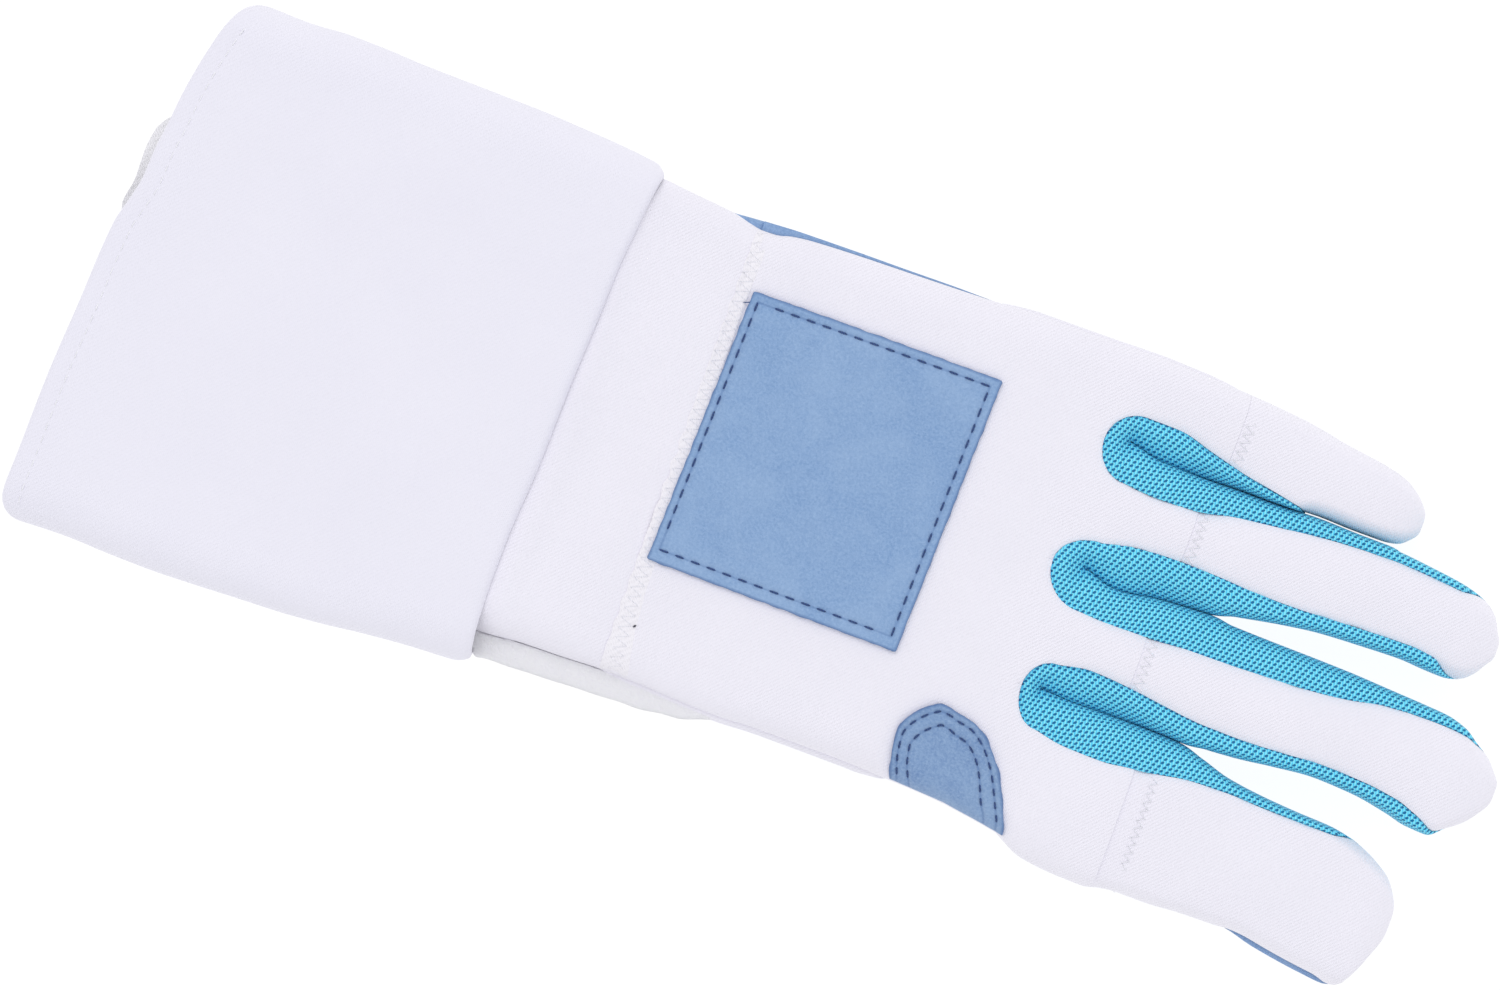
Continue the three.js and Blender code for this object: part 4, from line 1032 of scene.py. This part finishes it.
def build_strip():
    """Brushed strip that lines the wrist's underside and stands out beside it."""
    x = np.linspace(-52.5, 9.5, 130)[:, None]
    share = np.concatenate([[0, 0.01, 0.025, 0.045, 0.07], np.linspace(0.1, 1, 70)])[None, :]
    outer_y = strip_edge(x) + 0.12 * soft_waves(x, 0 * x, 9.0, 4)
    y = outer_y + (-26.0 - outer_y) * share
    x = x + 0.0 * y
    beside = 1 - smoothstep(-51.5, -44.0, y)
    fuzz = 0.14 * soft_waves(x, y, 2.2, 8) + 0.12 * soft_waves(x, y, 3.7, 14)
    rise = np.minimum(middle(x) - under(x) + 0.5, STRIP_RISE)
    top = under(x) - 0.35 + (rise + fuzz) * beside
    share_in = np.clip((y - hand_low(x)) / HAND_SIDE, 0.0, 1.0)
    side_z = middle(x) - (middle(x) - under(x)) * rounded(share_in)
    top = np.minimum(top, side_z - 0.12)
    edge = turn_down(y - outer_y, 1.1, 0.9)
    outer = np.stack([x, y, top - edge], -1)
    thick = 1.5 + 2.2 * beside * (1 - smoothstep(-12, 6, x))
    inner = np.stack([x, y, np.maximum(top - thick + edge * 0.4, 0.1)], -1)
    wall = Wall()
    wall.grid(outer, inner)
    piece = wall.build("brushed_strip", BRUSHED)
    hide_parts("wrist_loop_strip")


def build_thumb():
    """The thumb, folded flat under the palm."""
    base = np.array([32.0, -26.0])
    turn, reach, height = math.radians(27), 47.0, 8.3
    around = np.linspace(0, 2 * math.pi, 49)[:-1]
    rise = np.radians(np.linspace(-90, 90, 25))
    tip = np.cos(around) > 0
    points = []
    for angle in rise:
        shrink = math.cos(angle) ** 0.42 if abs(angle) < 1.57 else 0.0
        wide = np.where(tip, 12.4, 15.9) * shrink
        line = np.where(tip, reach * min(1.0, shrink * 1.6), 0.0)
        along = line + wide * np.cos(around)
        across = wide * np.sin(around)
        flat_x = base[0] + along * math.cos(turn) - across * math.sin(turn)
        flat_y = base[1] + along * math.sin(turn) + across * math.cos(turn)
        z = height / 2 * (1 + math.sin(angle)) + 0.0 * around
        points.append(np.stack([flat_x, flat_y, z], 1))
    faces = ring_faces(len(points), len(around))
    piece = make_piece("suede_thumb", np.concatenate(points), faces, SUEDE)
    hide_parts("thumb")


def thumb_side(x):
    """The side of the hand on the thumb's side, on into the index finger."""
    return np.where(x < CROTCH_X, hand_low(x), FINGERS[0]["low_edge"](np.maximum(x, CROTCH_X)))


def hand_height(x, y):
    """Top of the back of the hand behind the fingers, with its sides rolled down."""
    top = back_roof(x, y) - turn_down(seam_distance(x, y), TURN_WIDTH, TURN_DROP)
    middle_z = middle(x) + HALF_GAP
    low, high = (y - thumb_side(x)) / HAND_SIDE, (hand_high(x) - y) / HAND_SIDE
    return middle_z + (top - middle_z) * rounded(np.minimum(low, high))


def patch_point(u, v):
    """Plan position on the square patch; u runs along the glove, v across it."""
    a, b, c, d = (np.array(corner) for corner in PATCH_CORNERS)
    u, v = np.asarray(u, float)[..., None], np.asarray(v, float)[..., None]
    return (1 - v) * ((1 - u) * a + u * b) + v * ((1 - u) * d + u * c)


def patch_size():
    a, b, c, d = (np.array(corner) for corner in PATCH_CORNERS)
    return float(np.hypot(*(b - a))), float(np.hypot(*(d - a)))


def patch_seam_distance(u, v):
    """Distance from the row of stitches that runs round inside the patch."""
    length, width = patch_size()
    inside = np.minimum(
        np.minimum(u * length - PATCH_STITCH_INSET[0], (1 - u) * length - PATCH_STITCH_INSET[2]),
        np.minimum(v * width - PATCH_STITCH_INSET[1], (1 - v) * width - PATCH_STITCH_INSET[3]),
    )
    return np.abs(inside)


def patch_groove(u, v):
    return 0.42 * np.exp(-((patch_seam_distance(u, v) / 0.8) ** 2))


def patch_top(u, v):
    spot = patch_point(u, v)
    x, y = spot[..., 0], spot[..., 1]
    z = hand_height(x, y) + 0.25 + PATCH_THICK - patch_groove(u, v)
    return z + 0.06 * soft_waves(x, y, 9.0, 15)


def build_patch():
    """The square patch: a cut sheet of suede, held by one row of stitches."""
    length, width = patch_size()
    fine = np.array([0, 0.15, 0.45, 0.9, 1.3, 1.7, 2.0, 2.3, 2.7, 3.1, 3.6, 4.3])
    shares = []
    for size, count in ((length, 54), (width, 60)):
        flat = np.linspace(5.3, size - 5.3, count) / size
        shares.append(np.concatenate([fine / size, flat, 1 - fine[::-1] / size]))
    u, v = np.meshgrid(*shares, indexing="ij")
    spot = patch_point(u, v)
    x, y = spot[..., 0], spot[..., 1]
    from_side = np.minimum(np.minimum(u, 1 - u) * length, np.minimum(v, 1 - v) * width)
    corner = np.minimum(u, 1 - u) * length + np.minimum(v, 1 - v) * width
    pull = np.maximum(0.0, 0.5 - corner) * 0.3
    x = x - pull * np.sign(u - 0.5)
    y = y - pull * np.sign(v - 0.5)
    ragged = 0.12 * soft_waves(x, y, 5.0, 6) * (from_side < 0.01)
    x, y = x + ragged, y - ragged
    z = patch_top(u, v) - turn_down(from_side, 0.5, 0.35)
    base = hand_height(x, y) + 0.12
    wall = Wall()
    # Distances from the cut edge and from the stitches, which place the patch suede's painted shade
    rim = np.stack([from_side, patch_seam_distance(u, v)], -1)
    wall.grid(np.stack([x, y, z], -1), np.stack([x, y, base], -1), rim)
    piece = wall.build("square_patch", SUEDE_EDGE_SHADED, smooth_angle=60)
    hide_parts("back_patch")


# Half oval patch: its upper edge from the wrist end to the finger end, then the low end of the side
OVAL_X = [53.6, 52.2, 51.4, 51.2, 51.9, 54.2, 56.9, 59.2, 61.4, 63.6, 65.6, 67.8, 70.9, 73.5, 76.7, 78.7,
          81.1, 83.0, 83.6]
OVAL_Y = [-52.0, -47.6, -43.8, -39.8, -37.4, -34.2, -31.9, -30.7, -30.9, -31.5, -31.8, -32.3, -34.1, -36.4,
          -40.4, -43.7, -48.6, -53.0, -55.6]
OVAL_CENTRE = (67.8, -52.9)
OVAL_STITCHES = (1.9, 5.2)
oval_share = np.linspace(0, 1, len(OVAL_X))
oval_x = curve(oval_share, OVAL_X)
oval_y = curve(oval_share, OVAL_Y)


def oval_point(share, inset):
    """On the upper edge of the half oval, moved inwards by a distance."""
    x, y = oval_x(share), oval_y(share)
    dx, dy = OVAL_CENTRE[0] - x, OVAL_CENTRE[1] - y
    size = np.hypot(dx, dy)
    return x + dx / size * inset, y + dy / size * inset


def oval_seam_distance(inset):
    """Distance from the nearer of the two rows of stitches."""
    return np.minimum(np.abs(inset - OVAL_STITCHES[0]), np.abs(inset - OVAL_STITCHES[1]))


def oval_height(x, y, inset):
    near = oval_seam_distance(inset)
    groove = 0.42 * np.exp(-((near / 0.7) ** 2))
    return hand_height(x, y) + 0.25 + PATCH_THICK - groove


def build_thumb_patch():
    """Half oval patch: a fan from its upper edge to the middle of its straight side."""
    share = np.linspace(0, 1, 140)[:, None]
    size = np.hypot(OVAL_CENTRE[0] - oval_x(share), OVAL_CENTRE[1] - oval_y(share))
    ring = np.concatenate([[0, 0.12, 0.4, 0.8], np.linspace(1.2, 7.4, 24)])[None, :]
    rest = np.linspace(0, 1, 16)[1:][None, :]
    inset = np.concatenate([ring + 0 * size, 7.4 + (size - 7.4) * rest], 1)
    x, y = oval_point(share, inset)
    y = np.maximum(y, thumb_side(x) + 0.35)
    wavy = 0.25 * soft_waves(x, y, 6.0, 13) * (inset < 0.01)
    x, y = x + wavy, y + wavy * 0.6
    z = oval_height(x, y, inset) - turn_down(inset, 0.5, 0.35)
    base = hand_height(x, y) + 0.12
    wall = Wall()
    # Distances from the cut edge and from the stitches, which place the patch suede's painted shade
    rim = np.stack([inset, oval_seam_distance(inset)], -1)
    wall.grid(np.stack([x, y, z], -1), np.stack([x, y, base], -1), rim)
    piece = wall.build("half_oval_patch", SUEDE_DARK, smooth_angle=60)
    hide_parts("thumb_patch")


def resampled(path, pitch):
    """Points at even steps along a path."""
    path = np.asarray(path, float)
    steps = np.hypot(*np.diff(path[:, :2], axis=0).T)
    along = np.concatenate([[0.0], np.cumsum(steps)])
    count = max(2, int(round(along[-1] / pitch)) + 1)
    places = np.linspace(0, along[-1], count)
    return np.stack([np.interp(places, along, path[:, k]) for k in range(path.shape[1])], 1)


def threads(name, runs, radius, material, sides=7):
    """Short bent threads with rounded ends, all in one mesh. Each run is a list of points."""
    points, faces = [], []
    turn = np.linspace(0, 2 * math.pi, sides + 1)[:-1]
    for run in runs:
        run = np.asarray(run, float)
        ahead = np.gradient(run, axis=0)
        ahead /= np.maximum(np.linalg.norm(ahead, axis=1), 1e-9)[:, None]
        side = np.cross(ahead, [0.0, 0.0, 1.0])
        side /= np.maximum(np.linalg.norm(side, axis=1), 1e-9)[:, None]
        up = np.cross(side, ahead)
        share = np.linspace(-1, 1, len(run))
        size = radius * np.sqrt(np.maximum(0.08, 1 - np.abs(share) ** 6))
        faces += ring_faces(len(run), sides, len(points))
        for k in range(len(run)):
            for angle in turn:
                spot = run[k] + size[k] * (side[k] * math.cos(angle) + up[k] * math.sin(angle))
                points.append(spot)
    piece = make_piece(name, points, faces, material)


def running_stitches(path, pitch, filled, radius, sag=0.22, points=7):
    """Cuts a path of x, y, z into stitches that dip into the cloth at both ends."""
    spots = resampled(path, pitch / 24)
    per = 24
    runs = []
    for start in range(0, len(spots) - per + 1, per):
        chosen = spots[start : start + int(per * filled) + 1]
        picked = chosen[np.linspace(0, len(chosen) - 1, points).round().astype(int)].copy()
        share = np.linspace(-1, 1, points)
        picked[:, 2] += radius * 0.8 - sag * np.abs(share) ** 4
        runs.append(picked)
    return runs


def build_patch_stitches():
    length, width = patch_size()
    u0, u1 = PATCH_STITCH_INSET[0] / length, 1 - PATCH_STITCH_INSET[2] / length
    v0, v1 = PATCH_STITCH_INSET[1] / width, 1 - PATCH_STITCH_INSET[3] / width
    sides = [((u0, v0), (u1, v0)), ((u1, v0), (u1, v1)), ((u1, v1), (u0, v1)), ((u0, v1), (u0, v0))]
    runs = []
    for (ua, va), (ub, vb) in sides:
        t = np.linspace(0, 1, 200)
        u, v = ua + (ub - ua) * t, va + (vb - va) * t
        spot = patch_point(u, v)
        z = patch_top(u, v)
        runs += running_stitches(np.column_stack([spot, z]), 4.0, 0.62, 0.24)
    threads("square_patch_stitches", runs, 0.24, NAVY)
    corner = patch_point(u0, v1)
    end = np.array([(-1.6, -0.5, -0.1), (-2.0, -0.7, 0.2), (-2.6, -0.95, -0.2), (-3.4, -1.2, -0.75)])
    end = end + [corner[0], corner[1], float(patch_top(u0, v1))]
    threads("patch_loose_thread", [resampled(end, 0.3)], 0.13, NAVY)


def build_oval_stitches():
    runs = []
    for inset, start, stop in ((OVAL_STITCHES[0], 0.025, 0.985), (OVAL_STITCHES[1], 0.04, 0.965)):
        share = np.linspace(start, stop, 240)
        x, y = oval_point(share, inset)
        z = oval_height(x, y, inset)
        runs += running_stitches(np.column_stack([x, y, z]), 3.2, 0.62, 0.23)
    threads("half_oval_stitches", runs, 0.23, NAVY)


def build_hem_stitches():
    y = np.linspace(-61.5, 66.0, 400)
    x = cuff_mouth(y) + HEM_INSET
    z = CUFF_HEIGHT + cuff_waves(0.0, x, y)
    side = np.minimum(y - cuff_low(0.04), cuff_high(0.04) - y)
    inner = np.clip(side / CUFF_SIDE, 0, 1)
    z = CUFF_HEIGHT / 2 + (z - CUFF_HEIGHT / 2) * np.sqrt(np.maximum(0, 1 - (1 - inner) ** 2))
    runs = running_stitches(np.column_stack([x, y, z]), 3.1, 0.74, 0.17, sag=0.24)
    threads("cuff_hem_stitches", runs, 0.17, HEM_THREAD)


def zigzag(x, y, width, pitch):
    """Zigzag across X round a line of points."""
    line = resampled(np.column_stack([x, y]), pitch)
    line[:, 0] += width * np.where(np.arange(len(line)) % 2 == 0, 0.5, -0.5)
    return line


def build_wrist_band():
    """Flat tape over the wrist seam, its zigzag, and a dark end of thread."""
    t = np.linspace(0, 1, 120)[:, None]
    y = -51.3 + 112.4 * t
    left = np.interp(y, [-51, -40, -30, 0, 45, 62], [-20.7, -20.8, -20.9, -21.0, -21.0, -21.0])
    right = np.interp(y, [-51, -40, -30, 0, 45, 62], [-13.4, -15.4, -16.3, -16.9, -17.4, -17.0])
    share = np.array([0, 0.06, 0.15, 0.3, 0.5, 0.7, 0.85, 0.94, 1.0])[None, :]
    ragged = 0.3 * soft_waves(y, 0 * y, 5.0, 4)
    x = left + ragged + (right - left - ragged) * share
    y = y + 0.0 * x
    base = np.maximum(hand_height(x, y), wrist_height(x, y))
    rim = np.minimum(share, 1 - share) * 4.5
    z = base + 0.2 - turn_down(rim, 0.7, 0.16) + 0.08 * soft_waves(x, y, 3.0, 1)
    wall = Wall()
    wall.grid(np.stack([x, y, z], -1), np.stack([x, y, base - 0.6], -1))
    piece = wall.build("wrist_seam_band", TAPE)
    path = resampled(zigzag((left + right)[:, 0] / 2, y[:, 0], 3.3, 1.25), 0.35)
    z = np.maximum(hand_height(path[:, 0], path[:, 1]), wrist_height(path[:, 0], path[:, 1])) + 0.2
    threads("wrist_zigzag", [np.column_stack([path, z])], 0.16, WHITE_THREAD, 5)
    knot = np.array([(-16.3, -39.0), (-16.0, -38.6), (-15.7, -38.3)])
    z = hand_height(knot[:, 0], knot[:, 1]) + 0.35
    threads("dark_thread_end", [np.column_stack([knot, z])], 0.3, DARK_THREAD)


def wrist_height(x, y):
    z = over(x) + wrist_waves(0.0, x, y)
    centre = middle(x)
    low, high = (y - hand_low(x)) / HAND_SIDE, (hand_high(x) - y) / HAND_SIDE
    return centre + (z - centre) * rounded(np.minimum(low, high))


def build_finger_bands():
    """Zigzag across each finger where its own back begins."""
    runs = []
    for index in range(len(FINGERS)):
        joint = joint_of(index)
        low = float(white_side(index, -1, joint + 1.5)[0]) + 0.4
        high = float(white_side(index, 1, joint + 1.5)[0]) - 0.4
        seam_x, width = (joint + (7.0 - 1.6), 1.9) if index == 0 else (joint + 1.9, 2.5)
        line_y = low + (high - low) * np.linspace(0, 1, 60)
        path = resampled(zigzag(np.full(60, seam_x), line_y, width, 1.1), 0.3)
        x, y = path[:, 0], path[:, 1]
        share = np.clip((y - low) / (high - low), 0, 1)
        outside = {0: share < 0.5, 3: share > 0.5}.get(index, False)
        side = np.clip(np.minimum(share, 1 - share) * (high - low) / HAND_SIDE, 0.02, 1)
        roll = np.where(outside, rounded(side), 1.0)
        top = back_top(index, x, y) - joint_sink(index, x)
        runs.append(np.column_stack([path, middle(x) + (top - middle(x)) * roll + 0.1]))
    threads("finger_zigzags", runs, 0.19, WHITE_THREAD, 5)


def side_band(name, xs, y, out, side, z_shift, tall, material):
    """A thin turned edge that shows beside the back; y is the line that it grows from."""
    turn = np.linspace(0, 2 * math.pi, 17)[:-1]
    wide = (1.4 + out)[:, None]
    spot_y = y[:, None] - side * 1.4 + side * wide * (0.5 + 0.5 * np.cos(turn))[None, :]
    tall = tall * (0.2 + 0.8 * rounded_ends(xs, 3.0))
    z = (middle(xs) + z_shift)[:, None] + tall[:, None] * np.sin(turn)[None, :]
    rings = np.stack([xs[:, None] + 0.0 * spot_y, spot_y, z], -1)
    faces = ring_faces(len(xs), len(turn))
    piece = make_piece(name, rings.reshape(-1, 3), faces, material)


def rounded_ends(xs, length=8.0):
    return np.sqrt(np.clip(np.minimum(xs - xs[0], xs[-1] - xs) / length, 0, 1))


def build_side_bands():
    xs = np.linspace(-21.5, 53, 92)
    side_band("thumb_side_edge", xs, hand_low(xs), 1.5 * rounded_ends(xs), -1, -1.3, 1.5,
              WHITE)
    xs = np.linspace(40, 101, 80)
    high = np.where(xs < CROTCH_X, hand_high(xs), FINGERS[3]["high_edge"](xs))
    side_band("little_side_edge", xs, high, 0.75 * rounded_ends(xs), 1, -1.3, 1.5,
              WHITE)
    xs = np.linspace(-28, -19.5, 24)
    out = np.maximum(palm_edge(xs) - hand_high(xs), 0.0)
    side_band("suede_palm_start", xs, hand_high(xs), out, 1, -1.3, 1.2, SUEDE)


build_hand_back()
for finger_index in range(4):
    build_finger_back(finger_index)
for inset_index in range(3):
    build_mesh_inset(inset_index)
build_palm()
build_thumb()
build_cuff()
build_lining()
build_wrist()
build_strip()
build_patch()
build_thumb_patch()
build_patch_stitches()
build_oval_stitches()
build_hem_stitches()
build_wrist_band()
build_finger_bands()
build_side_bands()


def floor_material():
    """Paper that glows almost white."""
    material, _, shader = new_material("paper", {})
    shader.inputs["Base Color"].default_value = (0.14, 0.14, 0.14, 1.0)
    shader.inputs["Roughness"].default_value = 1.0
    shader.inputs["Emission Color"].default_value = (1.0, 1.0, 1.0, 1.0)
    shader.inputs["Emission Strength"].default_value = 0.92
    return material


def make_floor():
    mesh = bpy.data.meshes.new("floor")
    size = 3.0
    corners = [(-size, -size, 0), (size, -size, 0), (size, size, 0), (-size, size, 0)]
    mesh.from_pydata([(a, b, -0.0002) for a, b, _ in corners], [], [(0, 1, 2, 3)])
    mesh.materials.append(floor_material())
    floor = bpy.data.objects.new("floor", mesh)
    bpy.context.scene.collection.objects.link(floor)


def make_light(name, place, size, power, tint):
    data = bpy.data.lights.new(name, "AREA")
    data.shape = "DISK"
    data.size = size
    data.energy = power
    data.color = tint
    light = bpy.data.objects.new(name, data)
    light.location = place
    light.rotation_mode = "QUATERNION"
    light.rotation_quaternion = (-Vector(place)).to_track_quat("-Z", "Y")
    bpy.context.scene.collection.objects.link(light)


# What the camera takes in: width of view and middle, at a height over the floor
VIEW_WIDTH = 361.4
VIEW_CENTRE = (-0.8, 0.29)
CAMERA_PLANE = 10.0


def make_camera():
    """Straight above, turned so that the glove runs down to the right."""
    data = bpy.data.cameras.new("camera")
    data.lens = 100.0
    data.sensor_width = 36.0
    width = VIEW_WIDTH * MM
    distance = data.lens / data.sensor_width * width
    camera = bpy.data.objects.new("camera", data)
    camera.location = (
        (VIEW_CENTRE[0] - SHIFT_X) * MM,
        (VIEW_CENTRE[1] - SHIFT_Y) * MM,
        CAMERA_PLANE * MM + distance,
    )
    camera.rotation_euler = (0.0, 0.0, math.radians(20))
    data.clip_start, data.clip_end = 0.01, 20.0
    bpy.context.scene.collection.objects.link(camera)
    bpy.context.scene.camera = camera


make_floor()
make_light("key", (-1.5, 2.6, 4.6), 3.4, 66.0, (1.0, 0.99, 0.98))
make_light("fill", (2.6, -2.2, 4.0), 4.4, 30.0, (0.97, 0.98, 1.0))
world = bpy.data.worlds.new("studio")
bpy.context.scene.world = world
world.use_nodes = True
background = world.node_tree.nodes["Background"]
background.inputs["Color"].default_value = (0.97, 0.98, 1.0, 1.0)
background.inputs["Strength"].default_value = 0.78
make_camera()
bpy.context.scene.view_settings.view_transform = "Standard"
